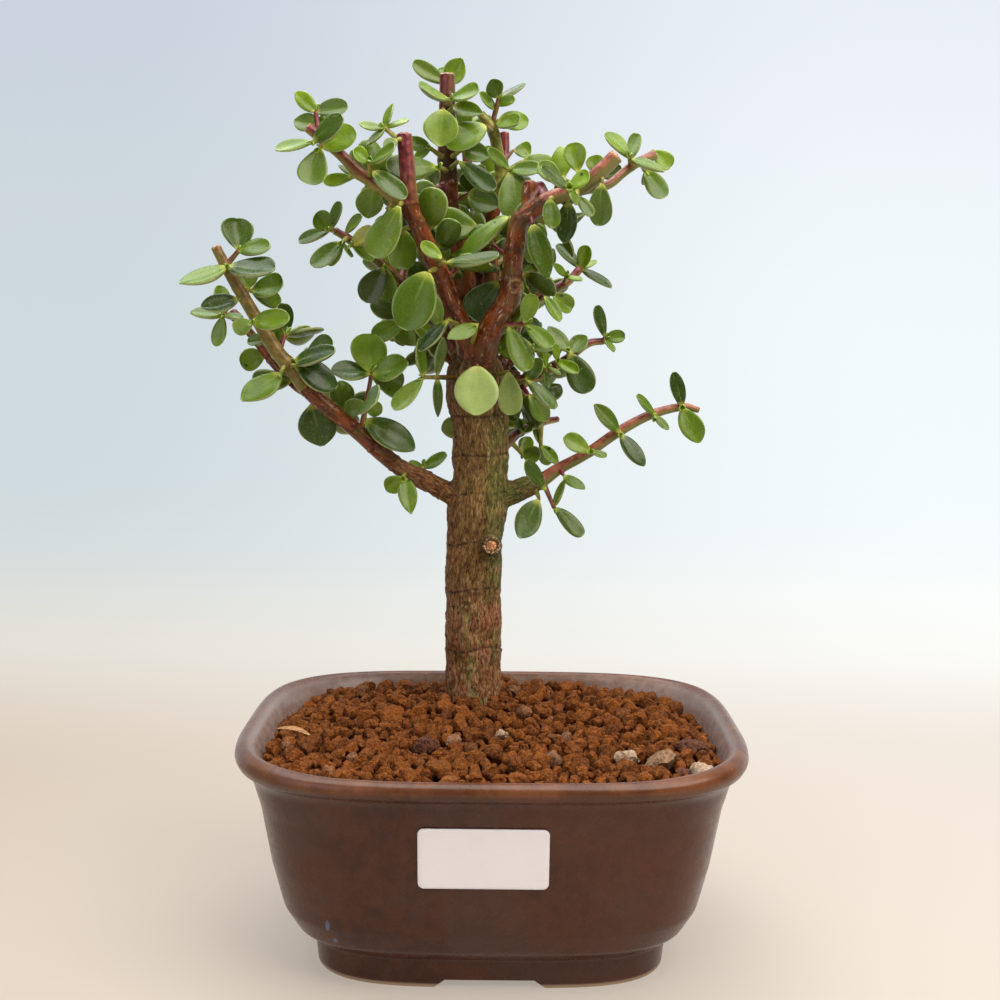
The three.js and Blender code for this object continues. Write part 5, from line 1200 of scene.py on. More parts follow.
class OnLimbs:
    """Where each point of the wood lies on its nearest limb."""

    def __init__(self, points, lines):
        self.names = list(lines)
        centres, ahead, first, second = (
            np.vstack([getattr(line, key) for line in lines.values()])
            for key in ("points", "ahead", "first", "second"))
        radii = np.concatenate([line.radii for line in lines.values()])
        arcs = np.concatenate([line.arc for line in lines.values()])
        owner = np.repeat(np.arange(len(lines)), [len(line.arc) for line in lines.values()])
        nearest = np.empty(len(points), int)
        for start in range(0, len(points), POINTS_AT_ONCE):
            part = slice(start, start + POINTS_AT_ONCE)
            gap = np.linalg.norm(points[part, None] - centres[None], axis=2) - radii
            nearest[part] = gap.argmin(1)
        offset = points - centres[nearest]
        self.ahead = ahead[nearest]
        self.angle = np.arctan2((offset * second[nearest]).sum(1), (offset * first[nearest]).sum(1))
        self.along = arcs[nearest] + (offset * self.ahead).sum(1)
        self.radius = radii[nearest]
        self.limb = owner[nearest]
        # How far along each point lies from its limb's end; negative before it.
        self.past_end = self.along - np.array([line.arc[-1] for line in lines.values()])[self.limb]

    def among(self, names):
        """Which points lie on the named limbs."""
        return np.array([name in names for name in self.names])[self.limb]

    def unrolled(self):
        """Places on the bark laid out along each limb, for its grain."""
        return np.stack([self.radius * np.cos(self.angle), self.radius * np.sin(self.angle),
                         self.along + LIMB_OFFSET * self.limb], axis=1)


def old_age(points, radius):
    """How old the wood looks: the trunk, and the limbs' bases next to it."""
    by_trunk = (OLD_BASE["reach"] - np.abs(points[:, 0] - TREE_AXIS[0])) / OLD_BASE["fade"]
    by_trunk = np.clip(by_trunk, 0, 1) * (points[:, 2] < OLD_BASE["below"])
    by_radius = np.clip((radius - BARK_FROM) / (BARK_FULL - BARK_FROM), 0, 1)
    return np.maximum(by_radius, OLD_BASE["age"] * by_trunk)


def fibre_at(a, b, c):
    """How far the wood's fibres stand out at a place."""
    coarse, fine = noise.noise((a, b, c * 0.34)), noise.noise((a * 1.9, b * 1.9, c * 0.8 + 50))
    return coarse + 0.6 * fine


def make_wood(bark):
    """Trunk, limbs and stubs as one skin: tubes melted together, then ringed and furrowed."""
    wood, lines = wood_skin(bark)
    mesh = wood.data
    points = vertices_of(mesh)
    count = len(points)
    normals = np.zeros(count * 3)
    mesh.vertices.foreach_get("normal", normals)
    normals = normals.reshape(-1, 3)
    at = OnLimbs(points, lines)
    grain = at.unrolled()

    push, groove = np.zeros(count), np.zeros(count)
    for k, name in enumerate(lines):
        mine = at.limb == k
        angle, height = at.angle[mine], points[mine, 2]
        wave = 0.7 * np.sin(2 * angle + k) + 0.5 * np.sin(3 * angle + height * 0.05)
        raised, groove[mine] = ring_profile(name, at.along[mine] + 0.4 * wave, height + wave)
        push[mine] += raised
    age = old_age(points, at.radius)
    fibre = np.array([fibre_at(*spot) for spot in grain])
    plates = np.array([flake_at(*spot) for spot in grain])
    lumps = np.array([noise.noise(point * 0.16) for point in points])
    push += fibre * (0.03 + 0.26 * age) + lumps * (0.06 + 0.16 * age)
    push += age * (0.26 * (plates[:, 1] - 0.5) - 0.2 * (1 - plates[:, 0]))

    facing = np.clip((normals * at.ahead).sum(1) * 2 - 0.6, 0, 1)
    cut = np.where(at.among(CUT_ENDS) & (at.past_end > -0.8), facing, 0)
    for x, z, size, pale in SCARS:
        far = np.hypot(points[:, 0] - x, points[:, 2] - z) + 9 * (normals[:, 1] > -0.15)
        ring, middle = np.exp(-((far - size) / 0.5) ** 2), np.exp(-(far / (size * 0.7)) ** 2)
        push += 0.45 * ring - 0.5 * middle
        groove = np.maximum(groove, (1 - pale) * middle)
        cut = np.maximum(cut, pale * 0.8 * np.exp(-((far - size) / 0.45) ** 2))
    collar = at.among(["pruned_branch"]) * np.clip((at.past_end + 3.5) / 2.5, 0, 1)
    groove = np.maximum(groove, 0.5 * collar)
    flush = at.among(RED_ENDS) * np.clip((at.past_end + 16) / 12, 0, 1)

    mesh.vertices.foreach_set("co", place(points + normals * push[:, None]).ravel())
    store(mesh, "bark", grain)
    store(mesh, "plate", np.column_stack([plates, np.zeros(count)]))
    store(mesh, "wood", np.stack([age, groove, cut], axis=1))
    store(mesh, "flush", flush)
    mesh.shade_smooth()
    mesh.update()
    dress(wood, "bark", "trunk")


def make_cut_face(skin):
    """The sawn end of the pruned branch: a ragged ring of bark round a dry, cracked core."""
    line = Line(PATHS["pruned_branch"], 0, PATHS["pruned_branch"].last)
    flat = circle(1, CUT_FACE["sides"])
    axes = np.stack([line.first[-1], line.second[-1], line.ahead[-1]])
    rings, values = [], []
    for share in np.linspace(1.0, 0.03, CUT_FACE["rings"]):
        ragged = np.array([noise.noise((x * 4, y * 4, share * 3)) for x, y, _ in flat])
        split = np.array([abs(noise.noise((x * 2.2, y * 2.2, 7 + share * 0.4))) for x, y, _ in flat])
        collar = np.exp(-((share - 0.78) / 0.13) ** 2) * (0.75 + 0.9 * ragged)
        crack = np.clip(0.09 - split, 0, 0.09) / 0.09 * (share < 0.55)
        core = 0.35 * max(0.0, 1 - (share / 0.5) ** 2) - 0.5 * crack
        trough = -0.35 * math.exp(-((share - 0.56) / 0.05) ** 2)
        edge = 1.6 * max(0.0, share - 0.9) / 0.1
        height = collar + core + trough - edge + CUT_FACE["lift"]
        reach = CUT_FACE["radius"] * share * (1 + 0.1 * ragged)
        ring = flat * reach[:, None] + np.outer(height, UP)
        rings.append(line.points[-1] + ring @ axes)
        values.append(np.column_stack([np.full(len(flat), share), split, ragged]))
    points, faces = lofted(rings)
    values = np.vstack([*values, values[0][:1], values[-1][:1]])
    dress(mesh_object("cut_face", points, faces, [skin], attributes={"cutting": values}), "bark")


# ---------------------------------------------------------------- leaves and stems

LEAF_ROWS = np.array([0.02, 0.05, 0.1, 0.16, 0.23, 0.31, 0.4, 0.49, 0.58, 0.66, 0.74, 0.81, 0.87,
                      0.92, 0.955, 0.98, 0.993])  # shares of its length at which a leaf has rings


def leaf_form(leaf, draw):
    """Points, faces and shading values of one fleshy leaf."""
    share = LEAF_ROWS
    small = np.clip((15 - leaf.length) / 7, 0, 1)
    skew, twist = draw.uniform(-0.09, 0.09), draw.uniform(-0.26, 0.26)
    bend, cup = draw.uniform(-0.07, 0.13), draw.uniform(0.1, 0.46) + 0.3 * small * draw.uniform()
    low = draw.uniform(0.66, 0.9)
    high = draw.uniform(0.62, 0.85) if draw.uniform() < POINTED else draw.uniform(0.42, 0.54)
    fold = draw.uniform(1.1, 1.7) - 0.1 * small
    outline = share**low * (1 - share) ** high
    widest = low / (low + high)
    outline = outline / (widest**low * (1 - widest) ** high)
    half = 0.5 * leaf.width * np.maximum(outline, NECK)
    thick = LEAF_THICK * leaf.length * np.clip(share / 0.3, 0, 1) ** 0.5 * (1 - share**3.2) ** 0.6
    thick = np.minimum(np.clip(thick, 0.35, 1.6), half * 0.9)
    angle = 2 * np.pi * np.arange(LEAF_SIDES) / LEAF_SIDES
    side, face = signed_power(np.cos(angle), 0.82), signed_power(np.sin(angle), 0.68)
    at, half, thick = share[:, None], half[:, None], thick[:, None]
    across = (side + 2 * skew * (2 * at - 1)) * half
    wave = 0.05 * half * np.sin(5 * at + 9 * skew + 2 * side)
    lift = face * thick + half * cup * (np.abs(side) ** fold - 0.4) + wave * np.abs(side)
    lift = lift + 2 * bend * leaf.length * at**2 + twist * across * at
    reach = np.broadcast_to(at * leaf.length, across.shape)
    axes = np.stack([leaf.tip, leaf.across, leaf.upper])
    rings = list(np.stack([reach, across, lift], axis=-1) @ axes + leaf.base)
    points, faces = lofted(rings)
    points[-1] += leaf.tip * leaf.length * 0.004
    values = np.zeros((len(points), 3))
    values[:-2, 0] = np.repeat(share, LEAF_SIDES)
    values[:-2, 1] = np.tile(side, len(share))
    values[:-2, 2] = np.tile(face, len(share))
    values[-1] = (1, 1, 0)
    return points, faces, values


def leaf_tint(shoot, index, leaf, draw):
    """Tone from dark to light green, brightness, and what ails the leaf, if anything."""
    young = np.clip((14 - leaf.length) / 8, 0, 1)
    tone = np.clip(0.2 + 0.5 * young + draw.uniform(-0.3, 0.42), 0, 1)
    bright, kind = draw.uniform(), 0.0
    if shoot["name"].startswith("inner_"):
        # Painted shade: the leaves inside the crown are made darker, as the shade among the leaves.
        tone, bright = tone * 0.5, bright * 0.5
    if index == 0 and shoot["name"] in SPECIAL_LEAVES:
        tone, bright, kind = SPECIAL_LEAVES[shoot["name"]]
    return (tone, bright, kind)


def add_stem(builder, path, start, end, size, nodes, draw, blush, alone=False):
    """A stem of the given size, or a limb's young end with its ragged cut where size is None.

    It is a little swollen where its leaves sit, and narrows into a last leaf that stands alone.
    """
    line = Line(path, start, end, 0.6)
    sides, roundness, radii = 24, 0.25, line.radii
    if size:
        sides, roundness, radii = 14, 0.5, np.interp(line.at, (0, 1), size)
    for node in nodes:
        near = np.interp(node, line.at, line.arc)
        radii = radii + NODE_SWELL * np.exp(-((line.arc - near) / 0.8) ** 2)
    if alone:
        radii = radii * np.interp(line.arc[-1] - line.arc, (0, 1.6), (0.62, 1))
    rings = capped(line.rings(sides, radii), roundness)
    extra = len(rings) - len(line.arc)
    cut = np.r_[np.zeros(len(line.arc)), np.full(extra, 0.0 if size else 1.0)]
    if not size:
        for k in range(len(line.arc), len(rings)):
            ragged = np.array([noise.noise(point * 1.7) for point in rings[k]])
            rings[k] = rings[k] + 0.6 * ragged[:, None] * line.ahead[-1]
    points, faces = lofted(rings)
    values = np.zeros((len(points), 3))
    along = np.r_[line.arc, np.full(extra, line.arc[-1])]
    upward = []
    for ring in rings:
        out = ring - ring.mean(0)
        out /= np.linalg.norm(out, axis=1)[:, None] + 1e-9
        upward.append(0.5 + 0.5 * (out @ unit(STEM_LIGHT)))
    values[:-2, 0] = np.repeat(cut, sides)
    values[:-2, 1] = np.concatenate(upward)
    values[:-2, 2] = np.repeat(along[-1] - along, sides)
    values[-2:, 0] = (0, cut[-1])
    values[-2:, 1] = 0.5
    builder.add(points, faces, 1, leaf=values, tint=(blush[0], draw.uniform(), blush[1]))


def add_buds(builder, stem, draw):
    """The pair of unfolding leaves at a stem's tip."""
    base, axis = stem.point(1.0), unit(stem.tip - stem.root)
    roll, spread = draw.uniform(0, math.pi), math.radians(draw.uniform(*BUD_SPREAD))
    length = draw.uniform(*BUD_LENGTH)
    for side in (1, -1):
        grown = length * draw.uniform(0.85, 1)
        bud = pair_leaf(base, axis, roll, spread, side, grown, length * 0.5)
        points, faces, values = leaf_form(bud, draw)
        builder.add(points, faces, 0, leaf=values, tint=(0.85, draw.uniform(0.3, 0.6), 0.0))


def make_foliage(leaf_skin, stem_skin):
    """Each leafy node of the model as one mesh with real leaves, and the inner leaves as one."""
    draw = np.random.RandomState(5)
    builders = {}

    def piece_for(limb, at, name):
        node = f"spray_{TWIG_PARENTS.get(limb, limb)}" if at >= LIMBS[limb][0] else f"shoot_{name}"
        if name.startswith("inner_"):
            node = "inner"
        return builders.setdefault(node, Builder(["leaf", "tint"]))

    for name, (young, rows) in LIMBS.items():
        last = len(rows) - 1
        if young < last:
            builder = piece_for(name, last, name)
            nodes = [s["place"] for s in GROWN if s["limb"] == name and s["place"] > young]
            start, blush = max(young - 0.25, 0), BLUSH.get(name, OTHER_BLUSH)
            add_stem(builder, PATHS[name], start, last, None, nodes, draw, blush)
    for shoot in GROWN + INNER:
        if not shoot["leaves"]:
            continue
        builder = piece_for(shoot["limb"], shoot["place"], shoot["name"])
        stem = shoot["stem"]
        nodes = sorted({at for _, at in shoot["leaves"]})
        blush = draw.uniform(0.7, 1) if draw.uniform() < 0.3 else draw.uniform(0, 0.12)
        alone = sum(at > 0.95 for _, at in shoot["leaves"]) < 2
        wooden = 0.9 if shoot["name"] in WOODY_STEMS else 0.0
        add_stem(builder, stem, 0, 1, STEM_ROUND, nodes, draw, (blush, wooden), alone)
        if not alone:
            add_buds(builder, stem, draw)
        for index, (leaf, _) in enumerate(shoot["leaves"]):
            points, faces, values = leaf_form(leaf, draw)
            builder.add(points, faces, 0, leaf=values, tint=leaf_tint(shoot, index, leaf, draw))
    low, high = (np.array(corner) / MM - POT_CENTRE for corner in CAD_BOX)
    for node, builder in builders.items():
        stands_for = [node] if node in NODES else []
        builder.points = [np.clip(points, low + BOX_MARGIN, high - BOX_MARGIN)
                          for points in builder.points]
        name = node.replace("shoot_", "leafy_").replace("spray_", "crown_")
        dress(builder.piece(name, [leaf_skin, stem_skin]), "leaf", *stands_for)

# ---------------------------------------------------------------- finishes


def glaze_material():
    """Brown satin glaze: mottled, thinner and more orange along the rim, with fine pinholes; painted
    lighter to the right, with a painted grey reflection at the rim's left end and painted light on the
    inner wall towards the ends.
    """
    g = Graph("glaze", Specular_IOR_Level=0.35)
    at = g.millimetres()
    x, y, z = g.from_pot(at)
    cloud = g.noise(at, 0.035, 4, 0.6)
    mottle = g.noise(at, 0.22, 5, 0.62)
    fine = g.noise(at, 1.6, 3, 0.6)
    patchy = g.band(mottle, 0.3, 0.7)
    base = g.mix(patchy, "3c1d0d", "4e2813")
    base = g.mix(g.band(cloud, 0.42, 0.62, 0, 0.35), base, "5d3620")
    # Painted light: the glaze is made lighter towards the right, where the key lamp stands.
    base = g.mix(g.band(x, -10, 60, 0, 0.3), base, "643922")
    grey = g.times(g.band(g.noise(g.stretched(at, (1, 1, 0.6)), 0.05, 3), 0.45, 0.62), 0.45)
    base = g.mix(grey, base, "4c362d")
    rim = g.band(z, 64.5, 67)
    rim_tone = g.mix(g.band(g.noise(at, 0.1, 3), 0.38, 0.64), "5a3421", "75472a")
    # Painted reflection: the rim is made greyer towards its left end, as a broad sheen.
    rim_tone = g.mix(g.band(x, -44, -78, 0, 0.6), rim_tone, "6b5044")
    base = g.mix(g.times(rim, 0.85), base, rim_tone)
    inner = g.mix(patchy, "6a5549", "7d6556")
    # Painted light: the inner wall is made lighter towards the pot's ends.
    at_ends = g.band(g.maths("ABSOLUTE", x), 20, 62)
    inner = g.mix(at_ends, inner, g.mix(patchy, "84706a", "95827a"))
    base = g.mix(g.times(g.attribute("inside", "Fac"), 0.9), base, inner)
    foot = g.band(z, 1.4, 0.5)
    base = g.mix(foot, base, "a98f76")
    hole = g.times(g.band(g.cells(at, 0.55), 0.12, 0.04), g.band(g.noise(at, 0.09, 2), 0.56, 0.66))
    base = g.mix(g.times(hole, 0.75), base, "2b1a14")
    light = g.times(g.band(g.cells(at, 0.462), 0.07, 0.02), 0.5)
    base = g.mix(light, base, "a07c5c")
    base = g.mix(g.band(fine, 0.62, 0.74, 0, 0.35), base, "7b5438")
    for along, up, wide, tall in PAINT_MARKS:
        off = g.node("CombineXYZ", {0: g.times(g.plus(x, -along), 1 / wide),
                                    1: g.times(g.plus(z, -up), 1 / tall)}).outputs[0]
        near = g.node("VectorMath", {0: off}, operation="LENGTH").outputs["Value"]
        near = g.plus(near, g.times(g.noise(at, 1.1, 3), 1.6))
        blue = g.times(g.band(near, 1.75, 1.45), g.band(y, 0, -10))
        base = g.mix(g.times(blue, 0.8), base, "5b6c8c")
    rough = g.band(mottle, 0.3, 0.7, 0.2, 0.33)
    rough = g.plus(rough, g.times(foot, 0.35))
    height = g.plus(g.times(g.noise(at, 0.3, 3), 0.6), g.times(fine, 0.1))
    height = g.maths("SUBTRACT", height, hole)
    return g.finish(Base_Color=base, Roughness=rough, Normal=g.bump(height, 0.35, 0.5))


def paper_material():
    """A blank paper sticker: warm white, with a faint fibre and faint soiled patches."""
    g = Graph("paper", Roughness=0.42, Coat_Weight=0.2, Coat_Roughness=0.3)
    at = g.millimetres()
    fibre = g.noise(g.stretched(at, (1, 1, 2.5)), 1.8, 4, 0.65)
    base = g.mix(g.band(fibre, 0.35, 0.7), "faf7fb", "fffcff")
    base = g.mix(g.band(g.noise(at, 0.08, 3), 0.5, 0.75, 0, 0.3), base, "eee6e4")
    return g.finish(Base_Color=base, Normal=g.bump(fibre, 0.2, 0.06))


def soil_material():
    """Baked clay: rusty brown grains, dusty on top, some dark and a few pale stones."""
    g = Graph("soil", Roughness=0.92, Specular_IOR_Level=0.25)
    at = g.millimetres()
    shade, pale, grey = g.parts(g.attribute("grain"))
    crumbs = g.noise(at, 0.9, 5, 0.7)
    fine = g.noise(at, 3.2, 4, 0.65)
    base = g.mix(shade, "542607", "9a541b")
    base = g.mix(g.band(crumbs, 0.4, 0.66), g.mix(0.6, base, "381806"), g.mix(0.4, base, "ac6524"))
    base = g.mix(g.band(fine, 0.52, 0.66, 0, 0.65), base, "bf7c3c")
    base = g.mix(g.band(g.noise(at, 0.35, 3), 0.58, 0.7, 0, 0.5), base, "7c3a14")
    stone = g.mix(g.band(crumbs, 0.35, 0.65), "9c7a5d", "d8c3a8")
    base = g.mix(g.band(pale, 0.3, 0.9), base, stone)
    pumice = g.mix(g.band(crumbs, 0.4, 0.6), "39201a", "7a4b36")
    dark = g.times(g.band(grey, 0.7, 0.9), g.band(pale, 0.4, 0.2))
    base = g.mix(dark, base, pumice)
    height = g.plus(crumbs, g.times(fine, 0.35))
    height = g.plus(height, g.times(g.cells(at, 1.4), 0.4))
    return g.finish(Base_Color=base, Normal=g.bump(height, 1.0, 0.8))


def sliver_material():
    """A dry flake of bark, pinkish brown with darker lines along it."""
    g = Graph("sliver", Roughness=0.7)
    at = g.millimetres()
    lines = g.noise(g.stretched(at, (0.25, 1.5, 1.5)), 1.4, 4, 0.6)
    base = g.mix(g.band(lines, 0.35, 0.65), "8a5730", "c99a66")
    return g.finish(Base_Color=base, Normal=g.bump(lines, 0.5, 0.2))


def bark_material():
    """Flaky grey-brown bark on the trunk, painted darker towards its top as the shade under the crown;
    smooth reddish bark on the limbs.
    """
    g = Graph("bark", Specular_IOR_Level=0.35)
    along = g.attribute("bark")
    age, groove, cut = g.parts(g.attribute("wood"))
    crack, plate, _ = g.parts(g.attribute("plate"))
    flush = g.attribute("flush", "Fac")
    at = g.millimetres()
    x, _, z = g.from_pot(at)
    fibre = g.noise(g.stretched(along, (1, 1, 0.3)), 1.5, 6, 0.75, 0.8)
    thread = g.noise(g.stretched(along, (1, 1, 0.2)), 3.2, 5, 0.7, 0.4)
    fleck = g.noise(g.stretched(along, (1, 1, 0.3)), 1.0, 5, 0.68, 0.8)
    flake = g.noise(g.stretched(along, (1, 1, 0.35)), 0.5, 4, 0.6)

    strand = g.band(fibre, 0.38, 0.62)
    old = g.mix(strand, "4e3410", "a68144")
    old = g.mix(g.times(plate, 0.3), old, "a08352")
    rusty = g.mix(g.band(fibre, 0.4, 0.6), "6e3019", "c98457")
    red = g.times(g.band(g.noise(at, 0.1, 4, 0.6), 0.38, 0.52), g.band(z, 112, 107, 0.14, 1))
    old = g.mix(g.times(red, 0.8), old, rusty)
    greenish = g.mix(strand, "5c5420", "bdb36a")
    olive = g.band(g.noise(g.stretched(at, (1, 1, 0.35)), 0.15, 5, 0.65), 0.53, 0.63)
    olive = g.times(olive, g.band(z, 112, 107, 0.35, 0.8))
    old = g.mix(olive, old, greenish)
    pinkish = g.band(g.noise(g.stretched(at, (1, 1, 0.5)), 0.3, 5, 0.7), 0.58, 0.7)
    old = g.mix(g.times(pinkish, g.band(z, 112, 106, 0.05, 0.9)), old, "c99c80")
    aside = g.band(g.maths("ABSOLUTE", g.plus(x, -TREE_AXIS[0])), 11, 15)
    aside = g.times(aside, g.band(z, 124, 134, 0, 0.7))
    old = g.mix(aside, old, g.mix(strand, "6c4226", "c4926c"))
    moss = g.times(g.band(x, -6, 1), g.times(g.band(z, 103, 118), g.band(z, 186, 168)))
    moss = g.times(moss, g.band(g.noise(at, 0.2, 4), 0.36, 0.54, 0.2, 0.9))
    old = g.mix(moss, old, g.mix(strand, "414a14", "8a9042"))
    # Painted shade: the trunk is made darker towards its top, as the shade under the crown.
    old = g.mix(g.band(z, 152, 176, 0, 0.75), old, g.mix(strand, "38230a", "7c5a2c"))
    warm = g.times(g.band(x, -9, -15), g.band(g.noise(at, 0.15, 4), 0.4, 0.58))
    old = g.mix(g.times(warm, 0.7), old, g.mix(g.band(fibre, 0.4, 0.6), "5c2c10", "b0723e"))
    plain = g.times(g.band(aside, 0.1, 0.6, 1, 0.45), g.band(z, 112, 105, 1, 1.4))
    old = g.mix(g.times(g.band(fleck, 0.53, 0.64, 0, 0.6), plain), old, "d0ae80")
    old = g.mix(g.times(g.band(fleck, 0.45, 0.35, 0, 0.68), plain), old, "2a1a0a")
    old = g.mix(g.band(thread, 0.54, 0.68, 0, 0.4), old, "503819")
    old = g.mix(g.band(crack, 0.35, 0.0, 0, 0.35), old, "24180c")

    limb = g.mix(g.band(flake, 0.36, 0.64), "481c08", "7c3d14")
    limb = g.mix(g.band(thread, 0.54, 0.68, 0, 0.45), limb, "a86c3f")
    limb = g.mix(g.band(fleck, 0.58, 0.67, 0, 0.65), limb, "d8b68e")
    limb = g.mix(g.band(g.noise(at, 0.16, 3), 0.5, 0.66, 0, 0.6), limb, "5c4a20")
    limb = g.mix(flush, limb, g.mix(g.band(flake, 0.35, 0.65), "4a1620", "742f38"))

    mixed = g.mix(g.band(age, 0.2, 0.75), limb, old)
    mixed = g.mix(g.times(groove, 0.8), mixed, "24170d")
    wood = g.mix(g.band(g.noise(at, 0.9, 4), 0.38, 0.62), "80583a", "cfa57c")
    mixed = g.mix(g.times(cut, 0.8), mixed, wood)
    rough = g.band(age, 0.1, 0.7, 0.2, 0.7)
    rough = g.plus(rough, g.band(fibre, 0.3, 0.7, -0.06, 0.12))
    relief = g.times(fibre, g.band(age, 0.1, 0.7, 0.08, 1.3))
    height = g.plus(relief, g.times(thread, g.band(age, 0.1, 0.7, 0.04, 0.6)))
    height = g.plus(height, g.times(fleck, g.band(age, 0.1, 0.7, 0.04, 0.7)))
    return g.finish(Base_Color=mixed, Roughness=rough, Normal=g.bump(height, 0.9, 0.8))


def cut_material():
    """A dry cut: grey-brown ragged bark round orange wood with dark splits."""
    g = Graph("cut", Roughness=0.7)
    share, split, ragged = g.parts(g.attribute("cutting"))
    at = g.millimetres()
    grain = g.noise(at, 1.6, 5, 0.7)
    core = g.mix(g.band(grain, 0.4, 0.6), "b4662e", "f0b67c")
    core = g.mix(g.band(split, 0.09, 0.0, 0, 0.9), core, "3a2011")
    ring = g.mix(g.band(grain, 0.42, 0.58), "3c2716", "9c7a50")
    ring = g.mix(g.band(ragged, 0.05, 0.3, 0, 0.75), ring, "d8bd94")
    ring = g.mix(g.band(share, 0.87, 0.94), ring, "3a2212")
    base = g.mix(g.band(share, 0.5, 0.56), core, ring)
    base = g.mix(g.times(g.band(share, 0.5, 0.56), g.band(share, 0.64, 0.58)), base, "2c1a10")
    return g.finish(Base_Color=base, Normal=g.bump(grain, 0.6, 0.3))


def leaf_material():
    """Fleshy leaf: glossy green with a pale margin, partly its own colour and partly a painted
    highlight, a painted highlight along the midrib, specks and a soft bloom.
    """
    g = Graph("leaf", Specular_IOR_Level=0.42, Subsurface_Weight=0.08, Subsurface_Scale=1.2 * MM,
              Subsurface_Radius=(0.6, 1.0, 0.12))
    share, side, face = g.parts(g.attribute("leaf"))
    tone, bright, kind = g.parts(g.attribute("tint"))
    at = g.millimetres()
    soft = g.noise(at, 0.16, 3, 0.55)
    grain = g.noise(at, 1.5, 4, 0.6)
    base = g.mix(tone, "1d3303", "7fa016")
    base = g.mix(g.band(bright, 0.55, 1, 0, 0.6), base, "819a3c")
    base = g.mix(g.band(bright, 0.3, 0.0, 0, 0.5), base, "1e2f08")
    base = g.mix(g.band(soft, 0.35, 0.68, 0, 0.5), base, "3a5a0a")
    under = g.mix(tone, "3c540c", "8aa52c")
    base = g.mix(g.band(face, 0.15, -0.35, 0, 0.7), base, under)
    base = g.mix(g.band(grain, 0.5, 0.72, 0, 0.06), base, "a2b25e")
    edge = g.maths("ABSOLUTE", side)
    # Painted highlight: a pale line along the midrib of the upper face, as light caught on the leaf's
    # fold.
    fold_highlight = g.times(g.band(edge, 0.12, 0.02), g.band(share, 0.7, 0.1))
    base = g.mix(g.times(fold_highlight, g.band(face, 0.2, 0.7, 0, 0.28)), base, "a9b765")
    base = g.mix(g.band(share, 0.2, 0.02, 0, 0.85), base, "b3bb4a")
    # The pale margin is partly the leaf's own colour and partly a painted highlight on its rounded
    # edge.
    rim = g.maths("MAXIMUM", g.band(edge, 0.9, 0.99), g.band(share, 0.965, 0.995))
    rim = g.times(rim, g.band(share, 0.1, 0.4))
    base = g.mix(g.times(rim, 0.55), base, "bcc688")
    dry = g.times(rim, g.band(g.noise(at, 0.5, 2), 0.6, 0.7))
    base = g.mix(g.times(dry, 0.7), base, "6b5a30")
    bloom = g.times(g.band(g.noise(at, 0.7, 5, 0.75), 0.56, 0.7),
                    g.band(g.noise(at, 0.1, 2), 0.5, 0.62))
    base = g.mix(g.times(bloom, g.band(face, 0.0, 0.6, 0, 0.25)), base, "cdd6b4")
    spot = g.band(g.cells(at, 0.13), 0.09, 0.055)
    base = g.mix(g.times(spot, 0.85), base, "17200f")
    base = g.mix(g.band(kind, 0, -1, 0, 0.4), base, "b3bb84")
    yellow = g.band(kind, 0.5, 1)
    base = g.mix(g.times(yellow, g.band(kind, 1.5, 1.2)), base, "9c9a34")
    brown = g.band(kind, 1.6, 2)
    base = g.mix(g.times(brown, g.band(soft, 0.3, 0.6, 0.25, 0.5)), base, "3c3f1a")
    rough = g.band(grain, 0.3, 0.7, 0.24, 0.37)
    rough = g.plus(rough, g.times(bloom, 0.15))
    height = g.plus(g.times(grain, 0.15), g.times(g.noise(at, 0.5, 3), 0.6))
    return g.finish(Base_Color=base, Roughness=rough, Normal=g.bump(height, 0.35, 0.4))


def stem_material():
    """Young stem: burgundy where the light reaches it, yellow-green underneath; woody stems painted
    lighter brown on the side that faces the light.
    """
    g = Graph("stem", Roughness=0.33, Specular_IOR_Level=0.35, Coat_Weight=0.1,
              Coat_Roughness=0.2, Subsurface_Weight=0.08, Subsurface_Scale=1.0 * MM)
    cut, sun, back = g.parts(g.attribute("leaf"))
    blush, _, wooden = g.parts(g.attribute("tint"))
    at = g.millimetres()
    streak = g.noise(at, 0.5, 3, 0.55)
    streaky = g.band(streak, 0.35, 0.65)
    lit = g.plus(sun, g.times(streak, 0.3))
    green = g.mix(streaky, "7d7a30", "a3a24a")
    red = g.mix(streaky, "571a20", "873a3c")
    red = g.mix(g.band(back, 9, 16, 0, 0.85), red, g.mix(streaky, "54280f", "7c4a26"))
    amount = g.times(g.band(lit, 0.45, 0.85), blush)
    base = g.mix(g.plus(amount, g.times(blush, 0.3)), green, red)
    dusty = g.mix(g.band(streak, 0.4, 0.6), "84432f", "a8664c")
    dusty = g.mix(g.band(lit, 0.92, 0.62), dusty, "7c783c")
    base = g.mix(g.band(wooden, -0.1, -0.5), base, dusty)
    # Painted light: woody stems are made lighter brown on the side that faces the light, darker on the
    # far side.
    aged = g.times(g.maths("MAXIMUM", wooden, 0.0), g.band(back, 4, 8, 0.4, 1))
    base = g.mix(aged, base, g.mix(g.band(sun, 0.2, 0.8), "2c1a05", "55320c"))
    wood = g.mix(g.band(g.noise(at, 1.4, 4), 0.4, 0.6), "7c4c30", "d2a57e")
    base = g.mix(g.times(cut, 0.85), base, wood)
    return g.finish(Base_Color=base, Normal=g.bump(g.noise(at, 1.1, 4, 0.6), 0.25, 0.3))


def mesh_material():
    """Moulded plastic mesh: dark blue-green, matt, slightly dusty."""
    g = Graph("plastic", Roughness=0.55)
    at = g.millimetres()
    dust = g.noise(at, 0.8, 4, 0.6)
    base = g.mix(g.band(dust, 0.4, 0.7), "1d2a2c", "4a4a40")
    return g.finish(Base_Color=base, Normal=g.bump(dust, 0.3, 0.1))


# ---------------------------------------------------------------- surroundings


